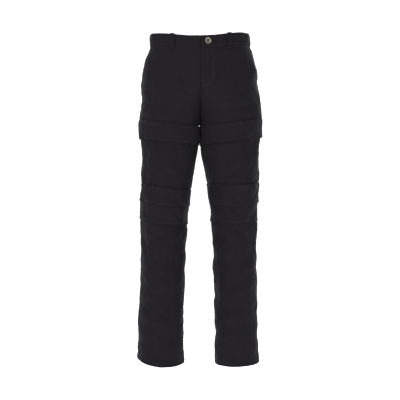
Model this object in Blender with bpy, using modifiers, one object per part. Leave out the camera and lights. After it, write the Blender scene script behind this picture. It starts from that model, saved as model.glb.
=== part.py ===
"""Utility trousers, filled out as when worn: a waistband, lapped fly, hip, thigh and lower leg panels,
a flap all round each thigh, two flaps all round each knee, belt loops, side pockets and a shank button.

Metres, +Z up. The front faces -Y and the wearer's right is at -X. The origin is the centre of the waist, half way
up the band at the side seams, where the wearer holds the garment.
"""
import math
from collections import namedtuple

import bmesh
import bpy
from mathutils import Vector

# Heights are given as a drop, the distance down from the top edge of the waistband at the side seams.
TOP = 0.0185
BAND = 0.037
CROTCH = 0.224
POCKET_TOP = 0.045
POCKET_END = 0.194
FLY_END = 0.162

# Cloth thicknesses and the gaps at seams
CLOTH = 0.0012
BAND_CLOTH = 0.0022
FLAP_CLOTH = 0.0016
LOOP_CLOTH = 0.0016
FACING_CLOTH = 0.0010
SEAM = 0.0003
LAY = 0.0005
FLAP_LAY = 0.0009
BEHIND_BAND = 0.0015

# The top edge dips at the centre front and rises at the centre back and to the left, fading out down the hips.
FRONT_DIP = 0.021
FRONT_POWER = 3
BACK_RISE = 0.014
BACK_POWER = 2
DIP_END = 0.200
SIDE_TILT = 0.010

# The fork: this far above the crotch the centre seams turn in and run under in a U.
FORK_RISE = 0.034

# The thighs press on each other below the crotch, on a centre plane that stands a little turned.
PRESS = 0.0029
PRESS_START = 0.272
PRESS_END = 0.289
PRESS_SOFT = 0.0020
PRESS_SHARP = 0.00005
PRESS_ROUNDED = 0.020
TURN = 0.050
TURN_PRESSED = 0.066
TURN_REACH = 0.050
TURN_FADE_START = 0.310
TURN_FADE_END = 0.350

# The lapped front edges: the left one lies over the right one.
LAP_WIDTH = 0.010
LAP_UP = 0.0007
LAP_DOWN = 0.0008
UNDERLAP = 0.048
UNDERLAP_COLUMNS = 4
BAND_OUT = 0.0005
SHIELD_RIGHT = 0.022
SHIELD_WIDTH = 0.052

# Each pocket mouth: its front edge stands off and back from the side seam.
MOUTH_GAPE = 0.0022
MOUTH_OPEN = 0.0035
MOUTH_REACH = 0.020
MOUTH_FADE = 0.050
FACING_BELOW = 0.006

# Faces round each half of a leg, and down each panel
COLUMNS = 14
HIP_ROWS = 12
FORK_ROWS = 3
FORK_CROWDING = 1.5
CROWD_START = 0.110
CROWD_END = 0.190
THIGH_ROWS = 7
SHIN_ROWS = 13
BAND_ROWS = 2
FLAP_ROWS = 3
SHIELD_COLUMNS = 5
SHIELD_ROWS = 8
FACING_ROWS = 7

# A wall's edge leans by half a face's turn, so its outer corner keeps this far from the seam's middle.
EDGE = SEAM / 2 + CLOTH * math.sin(math.pi / COLUMNS / 2)

# Outer and inner edge of each leg from the centre plane, and the front and back from the side seams. An inner edge
# below zero lies past the centre plane, where the other half of the garment cuts the section short.
Section = namedtuple("Section", "drop right_outer right_inner left_outer left_inner front back")
SECTIONS = (
    Section(0.000, 0.1565, -0.1565, 0.1562, -0.1562, 0.104, 0.106),
    Section(0.037, 0.1555, -0.1555, 0.1578, -0.1578, 0.106, 0.109),
    Section(0.054, 0.1602, -0.1602, 0.1648, -0.1648, 0.109, 0.113),
    Section(0.078, 0.1702, -0.1670, 0.1718, -0.1685, 0.111, 0.117),
    Section(0.104, 0.1788, -0.1570, 0.1778, -0.1570, 0.113, 0.120),
    Section(0.135, 0.1828, -0.1260, 0.1820, -0.1260, 0.114, 0.123),
    Section(0.165, 0.1850, -0.0860, 0.1846, -0.0860, 0.113, 0.124),
    Section(0.190, 0.1826, -0.0560, 0.1880, -0.0560, 0.110, 0.122),
    Section(0.224, 0.1850, -0.0270, 0.1922, -0.0270, 0.104, 0.116),
    Section(0.265, 0.1885, -0.0110, 0.1962, -0.0110, 0.099, 0.107),
    Section(0.328, 0.1838, -0.0030, 0.1890, -0.0040, 0.094, 0.097),
    Section(0.358, 0.1822, 0.0042, 0.1875, -0.0010, 0.092, 0.092),
    Section(0.393, 0.1820, 0.0105, 0.1872, 0.0075, 0.090, 0.087),
    Section(0.442, 0.1845, 0.0182, 0.1872, 0.0198, 0.088, 0.080),
    Section(0.505, 0.1846, 0.0292, 0.1812, 0.0310, 0.084, 0.074),
    Section(0.568, 0.1843, 0.0384, 0.1790, 0.0372, 0.079, 0.072),
    Section(0.618, 0.1850, 0.0388, 0.1808, 0.0392, 0.076, 0.073),
    Section(0.668, 0.1845, 0.0430, 0.1800, 0.0412, 0.073, 0.074),
    Section(0.795, 0.1873, 0.0472, 0.1806, 0.0456, 0.069, 0.077),
    Section(0.896, 0.1918, 0.0496, 0.1806, 0.0475, 0.067, 0.077),
    Section(1.030, 0.1968, 0.0500, 0.1862, 0.0484, 0.066, 0.077),
)

# Drop of each seam and free edge at the four sides of the leg
Edge = namedtuple("Edge", "outer front inner back")
THIGH_SEAM = {"right": Edge(0.267, 0.285, 0.291, 0.285), "left": Edge(0.265, 0.283, 0.289, 0.283)}
THIGH_FLAP_END = {"right": Edge(0.327, 0.343, 0.345, 0.343), "left": Edge(0.320, 0.340, 0.346, 0.340)}
KNEE_SEAM = {"right": Edge(0.466, 0.480, 0.487, 0.480), "left": Edge(0.463, 0.472, 0.465, 0.472)}
KNEE_UPPER_END = {"right": Edge(0.519, 0.536, 0.536, 0.535), "left": Edge(0.524, 0.538, 0.527, 0.536)}
KNEE_LOWER_END = {"right": Edge(0.575, 0.594, 0.594, 0.592), "left": Edge(0.582, 0.591, 0.585, 0.590)}
HEM = {"right": Edge(1.014, 1.031, 1.028, 1.027), "left": Edge(1.025, 1.030, 1.029, 1.028)}

# How much higher than the upper flap's free edge the lower knee flap starts, and how far the free edges stand off
KNEE_LOWER_HEAD = 0.012
THIGH_FLARE = 0.0030
KNEE_UPPER_FLARE = 0.0030
KNEE_LOWER_FLARE = 0.0010
FLARE_POWER = 1.5
FLARE_CLEAR_START = 0.004
FLARE_CLEAR_END = 0.030

# The largest folds: a place by its drop and its angle from the outer side towards the front, its half length and
# half width, the lean of its run from upright towards the inner side, and its height, below zero for a trough
Fold = namedtuple("Fold", "leg drop angle length width lean height")
FOLDS = (
    Fold("right", 0.372, 42, 0.030, 0.014, -40, -0.0045),
    Fold("right", 0.448, 38, 0.016, 0.024, 70, -0.0050),
    Fold("right", 0.410, 118, 0.045, 0.018, 25, -0.0035),
    Fold("right", 0.648, 30, 0.018, 0.015, 60, -0.0045),
    Fold("right", 0.636, 118, 0.022, 0.022, -60, 0.0040),
    Fold("right", 0.795, 112, 0.140, 0.020, 4, -0.0040),
    Fold("right", 0.895, 55, 0.090, 0.024, -6, 0.0035),
    Fold("right", 0.635, -95, 0.018, 0.045, 80, -0.0060),
    Fold("right", 0.700, -80, 0.020, 0.042, 76, 0.0040),
    Fold("right", 0.400, -110, 0.035, 0.024, 50, -0.0045),
    Fold("left", 0.425, 62, 0.120, 0.018, 0, 0.0045),
    Fold("left", 0.448, 112, 0.030, 0.022, 45, -0.0045),
    Fold("left", 0.648, 40, 0.018, 0.016, -60, -0.0050),
    Fold("left", 0.636, 128, 0.024, 0.020, 55, -0.0035),
    Fold("left", 0.895, 72, 0.085, 0.022, 2, -0.0045),
    Fold("left", 0.855, 112, 0.090, 0.024, -5, 0.0035),
    Fold("left", 0.628, -88, 0.018, 0.045, -78, -0.0060),
    Fold("left", 0.695, -100, 0.020, 0.042, -80, 0.0040),
    Fold("left", 0.405, -100, 0.035, 0.024, 44, -0.0045),
)
# Folds are laid out as on a leg of this radius, and fade out over this distance from the centre plane.
FOLD_RADIUS = 0.090
FOLD_CLEAR = 0.030
NORMAL_STEP = 0.002

# Belt loops: leg, and angle from the outer side
Loop = namedtuple("Loop", "name leg angle")
LOOPS = (
    Loop("belt_loop_front_right", "right", 58),
    Loop("belt_loop_front_left", "left", 55),
    Loop("belt_loop_side_right", "right", -12),
    Loop("belt_loop_side_left", "left", -8),
    Loop("belt_loop_back", "left", -89),
)
LOOP_WIDTH = 0.013
LOOP_TAIL = 0.012
LOOP_STAND = 0.0028
LOOP_SEAT = 0.0012
LOOP_TURN = 0.010

# Shank button, and its slot through the left end of the band
BUTTON_FROM_EDGE = 0.0215
BUTTON_RADIUS = 0.0092
BUTTON_HEIGHT = 0.0034
SHANK_RADIUS = 0.0016
BUTTON_STEPS = 16
SLOT_LENGTH = 0.019
SLOT_WIDTH = 0.0042

SIDE = {"right": -1.0, "left": 1.0}

COLOURS = {
    "cloth": ((0.018, 0.0165, 0.0195), 0.85, 0.0),
    "facing": ((0.015, 0.0140, 0.0165), 0.85, 0.0),
    "flap": ((0.019, 0.0175, 0.0205), 0.82, 0.0),
    "button": ((0.170, 0.165, 0.130), 0.38, 0.9),
}


def ease(start, stop, value):
    """Smooth step from 0 at start to 1 at stop."""
    share = min(max((value - start) / (stop - start), 0.0), 1.0)
    return share * share * (3.0 - 2.0 * share)


def read(column, drop):
    """A column of SECTIONS at a drop, on a smooth curve through the rows."""
    rows = SECTIONS
    drop = min(max(drop, rows[0].drop), rows[-1].drop)
    low = max(k for k in range(len(rows) - 1) if rows[k].drop <= drop)

    def slope(k):
        before, after = rows[max(k - 1, 0)], rows[min(k + 1, len(rows) - 1)]
        return (getattr(after, column) - getattr(before, column)) / (after.drop - before.drop)

    run = rows[low + 1].drop - rows[low].drop
    t = (drop - rows[low].drop) / run
    start, stop = getattr(rows[low], column), getattr(rows[low + 1], column)
    return (
        start * (2 * t ** 3 - 3 * t ** 2 + 1)
        + stop * (3 * t ** 2 - 2 * t ** 3)
        + slope(low) * run * (t ** 3 - 2 * t ** 2 + t)
        + slope(low + 1) * run * (t ** 3 - t ** 2)
    )


def edge_drop(edge, angle):
    """Drop of a seam or free edge at an angle round the leg, through its values at the four sides."""
    mean = (edge.outer + edge.front + edge.inner + edge.back) / 4
    across = (edge.outer - edge.inner) / 2
    along = (edge.front - edge.back) / 2
    saddle = (edge.outer + edge.inner - edge.front - edge.back) / 4
    return mean + across * math.cos(angle) + along * math.sin(angle) + saddle * math.cos(2 * angle)


def oval(leg, drop):
    """Distance of the leg's middle from the centre plane, and the half width of its section."""
    outer = read(leg + "_outer", drop)
    inner = read(leg + "_inner", drop)
    return (outer + inner) / 2, (outer - inner) / 2


def last_angle(leg, drop):
    """Angle from the outer side to the centre seam above the crotch, or to the inseam below it."""
    inseam = math.pi - EDGE / read("front", drop)
    if drop >= CROTCH:
        return inseam
    middle, half = oval(leg, drop)
    cut = math.acos((EDGE - middle) / half)
    up = (CROTCH - drop) / FORK_RISE
    if up >= 1:
        return cut
    return min(math.pi - math.asin(math.sin(cut) * math.sqrt(1 - (1 - up) ** 2)), inseam)


def reach(leg, angle, drop):
    """Distance of the outer face from the centre plane, flattened where the thighs press on each other."""
    middle, half = oval(leg, drop)
    free = middle + half * math.cos(angle)
    if drop < CROTCH - FORK_RISE:
        return free
    level = EDGE + PRESS * ease(PRESS_START, PRESS_END, drop)
    soft = PRESS_SHARP + PRESS_SOFT * ease(CROTCH - FORK_RISE, CROTCH + PRESS_ROUNDED, drop)
    over = (free - level) / soft
    return level + soft * (math.log1p(math.exp(over)) if over < 30 else over)


def turn_of_seam(drop):
    """Turn of the centre plane, more where the thighs press on each other."""
    pressed = ease(CROTCH, PRESS_START, drop) * (1 - ease(TURN_FADE_START, TURN_FADE_END, drop))
    return TURN + (TURN_PRESSED - TURN) * pressed


def skin(leg, angle, drop):
    """Point of the outer face at an angle from the outer side, towards the front above zero, and at a drop."""
    aside = reach(leg, angle, drop)
    y = -read("front" if angle > 0 else "back", drop) * math.sin(angle)
    x = SIDE[leg] * aside - turn_of_seam(drop) * y * math.exp(-((aside / TURN_REACH) ** 2))
    depth = abs(math.sin(angle))
    lift = -FRONT_DIP * depth ** FRONT_POWER if angle > 0 else BACK_RISE * depth ** BACK_POWER
    z = TOP - drop + (lift + SIDE_TILT * x) * (1 - ease(0.0, DIP_END, drop))
    return Vector((x, y, z))


def fold_height(leg, angle, drop):
    """Sum of the folds at a place on the leg."""
    total = 0.0
    for fold in FOLDS:
        if fold.leg != leg:
            continue
        turn = (math.degrees(angle) - fold.angle + 180) % 360 - 180
        aside = math.radians(turn) * FOLD_RADIUS
        down = drop - fold.drop
        lean = math.radians(fold.lean)
        along = down * math.cos(lean) + aside * math.sin(lean)
        across = aside * math.cos(lean) - down * math.sin(lean)
        total += fold.height * math.exp(-((along / fold.length) ** 2) - (across / fold.width) ** 2)
    return total


def outward(leg, angle, drop):
    """Unit normal of the outer face."""
    step = NORMAL_STEP
    round_leg = skin(leg, angle + step, drop) - skin(leg, angle - step, drop)
    down_leg = skin(leg, angle, drop + step) - skin(leg, angle, drop - step)
    return (SIDE[leg] * round_leg.cross(down_leg)).normalized()


def place(leg, angle, drop, out=0.0):
    """Point of the folded cloth, moved out by a distance."""
    height = fold_height(leg, angle, drop) * ease(0.0, FOLD_CLEAR, reach(leg, angle, drop))
    return skin(leg, angle, drop) + outward(leg, angle, drop) * (out + height)


def leg_angle(leg, share):
    """Share from 0 to 1 that runs anticlockwise seen from above, as the angle's share for this leg."""
    return share if leg == "right" else 1 - share


def finish(name):
    """Principled material of a named finish."""
    colour, roughness, metallic = COLOURS[name]
    material = bpy.data.materials.new(name)
    material.use_nodes = True
    shader = material.node_tree.nodes["Principled BSDF"]
    shader.inputs["Base Color"].default_value = (*colour, 1.0)
    shader.inputs["Roughness"].default_value = roughness
    shader.inputs["Metallic"].default_value = metallic
    material.diffuse_color = (*colour, 1.0)
    return material


def add_object(name, bm, collection, finish_name):
    """Object of a finished bmesh, with its own material."""
    mesh = bpy.data.meshes.new(name)
    bm.to_mesh(mesh)
    bm.free()
    thing = bpy.data.objects.new(name, mesh)
    collection.objects.link(thing)
    material = finish(finish_name)
    material.name = name + "_" + finish_name
    mesh.materials.append(material)
    mesh.shade_smooth()
    return thing


def add_wall(thing, thickness):
    """Wall grown inwards from the outer face."""
    wall = thing.modifiers.new("wall", "SOLIDIFY")
    wall.thickness = thickness
    wall.offset = -1.0
    wall.use_even_offset = True
    wall.use_rim = True


def cloth(name, where, columns, rows, thickness, collection, finish_name="cloth", closed=False):
    """Sheet laid out by where(across, up), both from 0 to 1, with its wall."""
    bm = bmesh.new()
    bmesh.ops.create_grid(bm, x_segments=columns, y_segments=rows, size=0.5)
    for vert in bm.verts:
        vert.co = where(vert.co.x + 0.5, vert.co.y + 0.5)
    if closed:
        bmesh.ops.remove_doubles(bm, verts=bm.verts, dist=SEAM / 10)
    bmesh.ops.triangulate(bm, faces=bm.faces, quad_method="SHORT_EDGE")
    thing = add_object(name, bm, collection, finish_name)
    add_wall(thing, thickness)
    return thing


def lap_out(leg, angle, drop):
    """How far the cloth near the centre front stands out on the left, where it laps over, and in on the right."""
    near = math.exp(-reach(leg, angle, drop) / LAP_WIDTH) if angle > 0 else 0.0
    return near * (LAP_UP if leg == "left" else -LAP_DOWN)


def mouth(drop):
    """How far open a pocket mouth is at a drop, from 0 to 1."""
    opened = ease(POCKET_TOP, POCKET_TOP + MOUTH_FADE, drop)
    return opened * (1 - ease(POCKET_END - MOUTH_FADE, POCKET_END, drop))


def hip_angle(leg, drop, share, edge=0.0):
    """Angle of a share of the way from the side seam to the centre seam, the faces narrowed towards the fork."""
    first = edge / read("front", drop)
    crowding = 1 + ease(CROWD_START, CROWD_END, drop)
    return first + (math.pi - first) * share - (math.pi - last_angle(leg, drop)) * share ** crowding


def add_hip_panel(leg, face, collection):
    """Panel from the waist seam to the thigh seam, with the fork."""
    half = 1 if face == "front" else -1
    crotch_up = FORK_ROWS / (HIP_ROWS + FORK_ROWS)

    def where(across, up):
        share = leg_angle(leg, across if face == "front" else 1 - across)
        if up > crotch_up + 0.001:
            rise = ((up - crotch_up) / (1 - crotch_up)) ** FORK_CROWDING
            drop = CROTCH - (CROTCH - BAND - SEAM / 2) * rise
        else:
            drop = CROTCH
        out = 0.0
        edge = EDGE + (MOUTH_OPEN * mouth(drop) if face == "front" else 0.0)
        angle = half * hip_angle(leg, drop, share, edge)
        if drop == CROTCH:
            seam = edge_drop(THIGH_SEAM[leg], angle) - SEAM / 2
            drop = seam + (CROTCH - seam) * up / crotch_up
        if face == "front":
            aside = angle * read("front", drop)
            out = MOUTH_GAPE * mouth(drop) * math.exp(-aside / MOUTH_REACH) + lap_out(leg, angle, drop)
        return place(leg, angle, drop, out)

    cloth(f"{face}_hip_{leg}", where, COLUMNS, HIP_ROWS + FORK_ROWS, CLOTH, collection)


def add_leg_panel(name, leg, face, top, bottom, rows, collection):
    """Panel between two edges, from the side seam to the inseam."""
    half = 1 if face == "front" else -1

    def where(across, up):
        share = leg_angle(leg, across if face == "front" else 1 - across)
        drop = bottom.front + (top.front - bottom.front) * up
        first = EDGE / read(face, drop)
        angle = half * (first + (math.pi - 2 * first) * share)
        low = edge_drop(bottom, angle) - SEAM / 2
        high = edge_drop(top, angle) + SEAM / 2
        return place(leg, angle, low + (high - low) * up)

    cloth(name, where, COLUMNS, rows, CLOTH, collection)


def add_flap(name, leg, top, bottom, flare, collection):
    """Flap all round a leg, sewn on at its top and standing off at its free edge, but not where legs press."""

    def where(across, up):
        angle = (1 if leg == "right" else -1) * 2 * math.pi * (across - 0.5)
        low, high = edge_drop(bottom, angle), edge_drop(top, angle)
        drop = low + (high - low) * up
        room = ease(FLARE_CLEAR_START, FLARE_CLEAR_END, reach(leg, angle, drop))
        out = FLAP_LAY + FLAP_CLOTH + flare * (1 - up) ** FLARE_POWER * room
        return place(leg, angle, drop, out)

    cloth(name, where, 2 * COLUMNS, FLAP_ROWS, FLAP_CLOTH, collection, "flap", closed=True)


def add_flaps(leg, collection):
    """The thigh flap and the two knee flaps of a leg."""
    lower_top = Edge(*(drop - KNEE_LOWER_HEAD for drop in KNEE_UPPER_END[leg]))
    add_flap(f"thigh_flap_{leg}", leg, THIGH_SEAM[leg], THIGH_FLAP_END[leg], THIGH_FLARE, collection)
    add_flap(f"knee_flap_upper_{leg}", leg, KNEE_SEAM[leg], KNEE_UPPER_END[leg], KNEE_UPPER_FLARE, collection)
    add_flap(f"knee_flap_lower_{leg}", leg, lower_top, KNEE_LOWER_END[leg], KNEE_LOWER_FLARE, collection)


def near_front(aside, drop):
    """Leg and angle of a place a distance beside the centre front, to the wearer's left above zero."""
    leg = "left" if aside > 0 else "right"
    middle, half = oval(leg, drop)
    angle = last_angle(leg, drop)
    speed = math.hypot(half * math.sin(angle), read("front", drop) * math.cos(angle))
    return leg, angle - abs(aside) / speed


def add_waistband(leg, collection):
    """Half of the waistband from the centre back round the side to the centre front, with the underlap."""
    extra = UNDERLAP_COLUMNS if leg == "right" else 0
    total = 2 * COLUMNS + extra

    def where(across, up):
        drop = (BAND - SEAM / 2) * (1 - up)
        limit = last_angle(leg, drop)
        column = across * total if leg == "right" else (1 - across) * total
        out = BAND_OUT
        if column > 2 * COLUMNS:
            under, angle = near_front(UNDERLAP * (column - 2 * COLUMNS) / extra, drop)
            return place(under, angle, drop, -BAND_CLOTH - SEAM)
        angle = limit * (column / COLUMNS - 1)
        if leg == "right":
            near = 1 - ease(0.0, LAP_WIDTH, reach(leg, angle, drop))
            out -= near * (BAND_CLOTH + SEAM + BAND_OUT) if angle > 0 else 0.0
        return place(leg, angle, drop, out)

    return cloth(f"waistband_{leg}", where, total, BAND_ROWS, BAND_CLOTH, collection)


def add_fly_shield(collection):
    """Strip behind the lapped edges of the fly."""
    outer_face = -(CLOTH + LAP_DOWN + 2 * LAY)

    def where(across, up):
        drop = FLY_END - (FLY_END - BAND - BEHIND_BAND) * up
        leg, angle = near_front(SHIELD_WIDTH * across - SHIELD_RIGHT, drop)
        return place(leg, angle, drop, outer_face)

    cloth("fly_shield", where, SHIELD_COLUMNS, SHIELD_ROWS, FLAP_CLOTH, collection, "facing")


def add_pocket_facing(leg, collection):
    """Strip that shows in the pocket mouth, a column of faces to each side of the side seam."""
    bottom = POCKET_END + FACING_BELOW

    def where(across, up):
        drop = bottom - (bottom - BAND - BEHIND_BAND) * up
        turn = leg_angle(leg, across) * 2 - 1
        angle = turn * hip_angle(leg, drop, 1 / COLUMNS)
        return place(leg, angle, drop, -CLOTH - 2 * LAY)

    cloth(f"pocket_facing_{leg}", where, 2, FACING_ROWS, FACING_CLOTH, collection, "facing")


def add_belt_loop(loop, collection):
    """Strip sewn below the waist seam, standing off the band and turned over its top edge."""
    inside = -(BAND_CLOTH + LAY)
    over = -(LOOP_CLOTH + LAY)
    route = (
        (BAND + LOOP_TAIL, LOOP_CLOTH + LOOP_SEAT),
        (BAND + LOOP_TAIL * 0.35, LOOP_CLOTH + LOOP_SEAT),
        (BAND * 0.85, LOOP_CLOTH + LOOP_STAND),
        (BAND * 0.5, LOOP_CLOTH + LOOP_STAND + 0.0003),
        (BAND * 0.15, LOOP_CLOTH + LOOP_STAND),
        (over, LOOP_CLOTH + 0.0012),
        (over, inside - LOOP_CLOTH),
        (LOOP_TURN, inside - LOOP_CLOTH),
    )
    centre = math.radians(loop.angle)

    def where(across, up):
        drop, out = route[round(up * (len(route) - 1))]
        flat = max(drop, 0.0)
        middle, half = oval(loop.leg, flat)
        speed = math.hypot(half * math.sin(centre), read("front", flat) * math.cos(centre))
        aside = (leg_angle(loop.leg, across) - 0.5) * LOOP_WIDTH / speed
        return place(loop.leg, centre + aside, drop, out)

    cloth(loop.name, where, 2, len(route) - 1, LOOP_CLOTH, collection)


def button_frame():
    """Centre of the button's foot on the band, its axis outwards and the direction along the band."""
    drop = BAND / 2
    leg, angle = near_front(BUTTON_FROM_EDGE, drop)
    foot = place(leg, angle, drop, BAND_OUT)
    axis = outward(leg, angle, drop)
    along = (skin(leg, angle - 0.01, drop) - skin(leg, angle, drop)).normalized()
    return foot, axis, along


def stand_on(thing, foot, axis, along):
    """Turns an object's Z to the axis and its X along the band, at the foot."""
    across = axis.cross(along).normalized()
    for column, direction in enumerate((across.cross(axis), across, axis)):
        for row in range(3):
            thing.matrix_world[row][column] = direction[row]
    thing.matrix_world.translation = foot


def add_button(collection):
    """Turned button: a dished face with a rounded rim on a shank that reaches the band's right end."""
    foot, axis, along = button_frame()
    radius, top = BUTTON_RADIUS, BUTTON_HEIGHT + LAY
    shank_end = -(BAND_CLOTH + BAND_OUT)
    profile = (
        (0.0, top - 0.0010),
        (radius * 0.42, top - 0.0009),
        (radius * 0.62, top - 0.0001),
        (radius * 0.82, top),
        (radius * 0.96, top - 0.0007),
        (radius, top - 0.0017),
        (radius * 0.93, LAY + 0.0003),
        (radius * 0.80, LAY),
        (SHANK_RADIUS, LAY),
        (SHANK_RADIUS, shank_end),
        (0.0, shank_end),
    )
    bm = bmesh.new()
    verts = [bm.verts.new((x, 0.0, z)) for x, z in profile]
    for start, stop in zip(verts, verts[1:]):
        bm.edges.new((start, stop))
    thing = add_object("button", bm, collection, "button")
    turn = thing.modifiers.new("turn", "SCREW")
    turn.steps = BUTTON_STEPS
    turn.render_steps = BUTTON_STEPS
    turn.use_merge_vertices = True
    turn.merge_threshold = 0.00001
    stand_on(thing, foot, axis, along)


def cut_buttonhole(band, cutters):
    """Slot through the left end of the band, from the shank away from the free edge."""
    foot, axis, along = button_frame()
    bm = bmesh.new()
    bmesh.ops.create_cube(bm, size=1.0)
    bmesh.ops.scale(bm, vec=(SLOT_LENGTH, SLOT_WIDTH, 4 * BAND_CLOTH), verts=bm.verts)
    bmesh.ops.translate(bm, vec=(SLOT_LENGTH / 2 - SLOT_WIDTH / 2, 0.0, 0.0), verts=bm.verts)
    upright = [edge for edge in bm.edges if abs(edge.verts[0].co.z - edge.verts[1].co.z) > BAND_CLOTH]
    bmesh.ops.bevel(
        bm, geom=upright, offset=SLOT_WIDTH * 0.45, offset_type="OFFSET", segments=2, profile=0.5,
        affect="EDGES", material=-1,
    )
    mesh = bpy.data.meshes.new("buttonhole_cutter")
    bm.to_mesh(mesh)
    bm.free()
    cutter = bpy.data.objects.new("buttonhole_cutter", mesh)
    cutter.hide_render = True
    cutter.display_type = "WIRE"
    cutters.objects.link(cutter)
    stand_on(cutter, foot, axis, along)
    slot = band.modifiers.new("buttonhole", "BOOLEAN")
    slot.operation = "DIFFERENCE"
    slot.solver = "EXACT"
    slot.object = cutter


def new_collection(name):
    """Collection in the scene."""
    collection = bpy.data.collections.new(name)
    bpy.context.scene.collection.children.link(collection)
    return collection


def build():
    """All the pieces, from the waist down."""
    for thing in list(bpy.data.objects):
        bpy.data.objects.remove(thing, do_unlink=True)
    trousers = new_collection("utility_trousers")
    cutters = new_collection("cutters")
    add_waistband("right", trousers)
    band = add_waistband("left", trousers)
    cut_buttonhole(band, cutters)
    add_button(trousers)
    add_fly_shield(trousers)
    for loop in LOOPS:
        add_belt_loop(loop, trousers)
    for leg in SIDE:
        add_pocket_facing(leg, trousers)
        for face in ("front", "back"):
            add_hip_panel(leg, face, trousers)
            add_leg_panel(
                f"{face}_thigh_{leg}", leg, face, THIGH_SEAM[leg], KNEE_SEAM[leg], THIGH_ROWS, trousers)
            add_leg_panel(f"{face}_shin_{leg}", leg, face, KNEE_SEAM[leg], HEM[leg], SHIN_ROWS, trousers)
        add_flaps(leg, trousers)
    bpy.context.view_layer.update()


build()
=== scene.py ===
"""Utility trousers in fine black twill: cloth, folds, sewing and button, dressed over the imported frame.

Every cloth node is replaced by a finer shell on the same sections, edges and folds. Lengths are in metres.
A drop is the distance down from the top edge of the waistband at the side seams, and an angle runs round a leg
from its outer side, 90 degrees at the front, 180 at the inseam and -90 at the back.
"""
import logging
import math
from dataclasses import dataclass, field
from enum import Enum
from typing import Iterable, NamedTuple, Sequence

import bmesh
import bpy
import numpy as np
from mathutils import Matrix, Vector


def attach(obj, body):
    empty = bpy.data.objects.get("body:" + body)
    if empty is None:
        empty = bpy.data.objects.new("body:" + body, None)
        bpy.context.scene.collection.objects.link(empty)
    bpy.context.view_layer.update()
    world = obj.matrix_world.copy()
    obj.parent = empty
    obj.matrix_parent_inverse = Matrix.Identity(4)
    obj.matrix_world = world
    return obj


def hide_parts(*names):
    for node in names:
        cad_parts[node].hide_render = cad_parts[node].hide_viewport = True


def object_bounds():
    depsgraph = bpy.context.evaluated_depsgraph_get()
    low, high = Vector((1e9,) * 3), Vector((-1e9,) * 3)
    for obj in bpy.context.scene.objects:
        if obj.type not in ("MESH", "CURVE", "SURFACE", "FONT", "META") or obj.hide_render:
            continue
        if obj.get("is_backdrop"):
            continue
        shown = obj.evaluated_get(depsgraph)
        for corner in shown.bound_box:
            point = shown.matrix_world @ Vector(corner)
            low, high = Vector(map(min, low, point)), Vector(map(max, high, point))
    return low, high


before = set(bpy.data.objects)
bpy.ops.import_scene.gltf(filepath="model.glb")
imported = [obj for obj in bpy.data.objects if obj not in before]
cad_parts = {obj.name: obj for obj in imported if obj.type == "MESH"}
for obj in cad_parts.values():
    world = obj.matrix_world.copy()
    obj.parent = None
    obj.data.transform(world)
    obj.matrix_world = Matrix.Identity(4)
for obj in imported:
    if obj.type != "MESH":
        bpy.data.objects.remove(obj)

CAD_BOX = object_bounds()
LOG = logging.getLogger("trousers")
Array = np.ndarray

# Heights down the garment
TOP = 0.0185
BAND = 0.037
CROTCH = 0.224
POCKET_TOP = 0.045
POCKET_END = 0.194
FLY_END = 0.162

# Cloth thicknesses and the gaps between pieces
CLOTH = 0.0012
BAND_CLOTH = 0.0022
FLAP_CLOTH = 0.0016
LOOP_CLOTH = 0.0016
FACING_CLOTH = 0.0010
LAY = 0.0005
BAND_LAY = 0.0003
FLAP_LAY = 0.0009
# Sewn edges run this far past the seam's middle, so that no light passes between them.
MEET = 0.0001
TUCK = 0.0010
MERGE = 0.00003

# Top edge, fork and the pressed flats between the thighs
FRONT_DIP = 0.021
FRONT_POWER = 3
BACK_RISE = 0.014
BACK_POWER = 2
DIP_END = 0.200
SIDE_TILT = 0.010
FORK_RISE = 0.034
FORK_SHARE = 0.2
FORK_CROWDING = 1.5
CROWD_START = 0.110
CROWD_END = 0.190
PRESS = 0.0029
PRESS_START = 0.272
PRESS_END = 0.289
PRESS_SOFT = 0.0020
PRESS_SHARP = 0.00005
PRESS_ROUNDED = 0.020
TURN = 0.050
TURN_PRESSED = 0.066
TURN_REACH = 0.050
TURN_FADE_START = 0.310
TURN_FADE_END = 0.350

# Lapped front, pocket mouths and flaps
LAP_WIDTH = 0.010
LAP_UP = 0.0007
LAP_DOWN = 0.0008
UNDERLAP = 0.048
BAND_OUT = 0.0005
MOUTH_GAPE = 0.0022
MOUTH_OPEN = 0.0035
MOUTH_REACH = 0.020
MOUTH_FADE = 0.05
KNEE_LOWER_HEAD = 0.012
FOLD_RADIUS = 0.090
FOLD_CLEAR = 0.030
BEHIND_BAND = 0.0015
FACING_BELOW = 0.006
# Turn, in radians, and drop, in metres, across which normals are measured
NORMAL_STEP = 0.002


class Leg(Enum):
    """Half of the garment, by the wearer's side."""

    RIGHT = "right"
    LEFT = "left"

    @property
    def side(self) -> float:
        """Sign of X on this side."""
        return -1.0 if self is Leg.RIGHT else 1.0


class Face(Enum):
    """Front or back half of a leg."""

    FRONT = "front"
    BACK = "back"

    @property
    def half(self) -> int:
        """Sign of the angles on this half."""
        return 1 if self is Face.FRONT else -1


class Border(Enum):
    """Edge of a cut piece, seen from outside."""

    LEFT = "left"
    RIGHT = "right"
    TOP = "top"
    BOTTOM = "bottom"


class Slot(Enum):
    """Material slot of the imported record."""

    CLOTH = "cloth"
    BAND = "band"
    FLAP = "flap"
    FACING = "facing"
    BUTTON = "button"


class Section(NamedTuple):
    """Edges of both legs from the centre plane at a drop, and the front and back from the side seams."""

    drop: float
    right_outer: float
    right_inner: float
    left_outer: float
    left_inner: float
    front: float
    back: float


class Edge(NamedTuple):
    """Drop of a seam or free edge at the four sides of a leg."""

    outer: float
    front: float
    inner: float
    back: float


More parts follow.
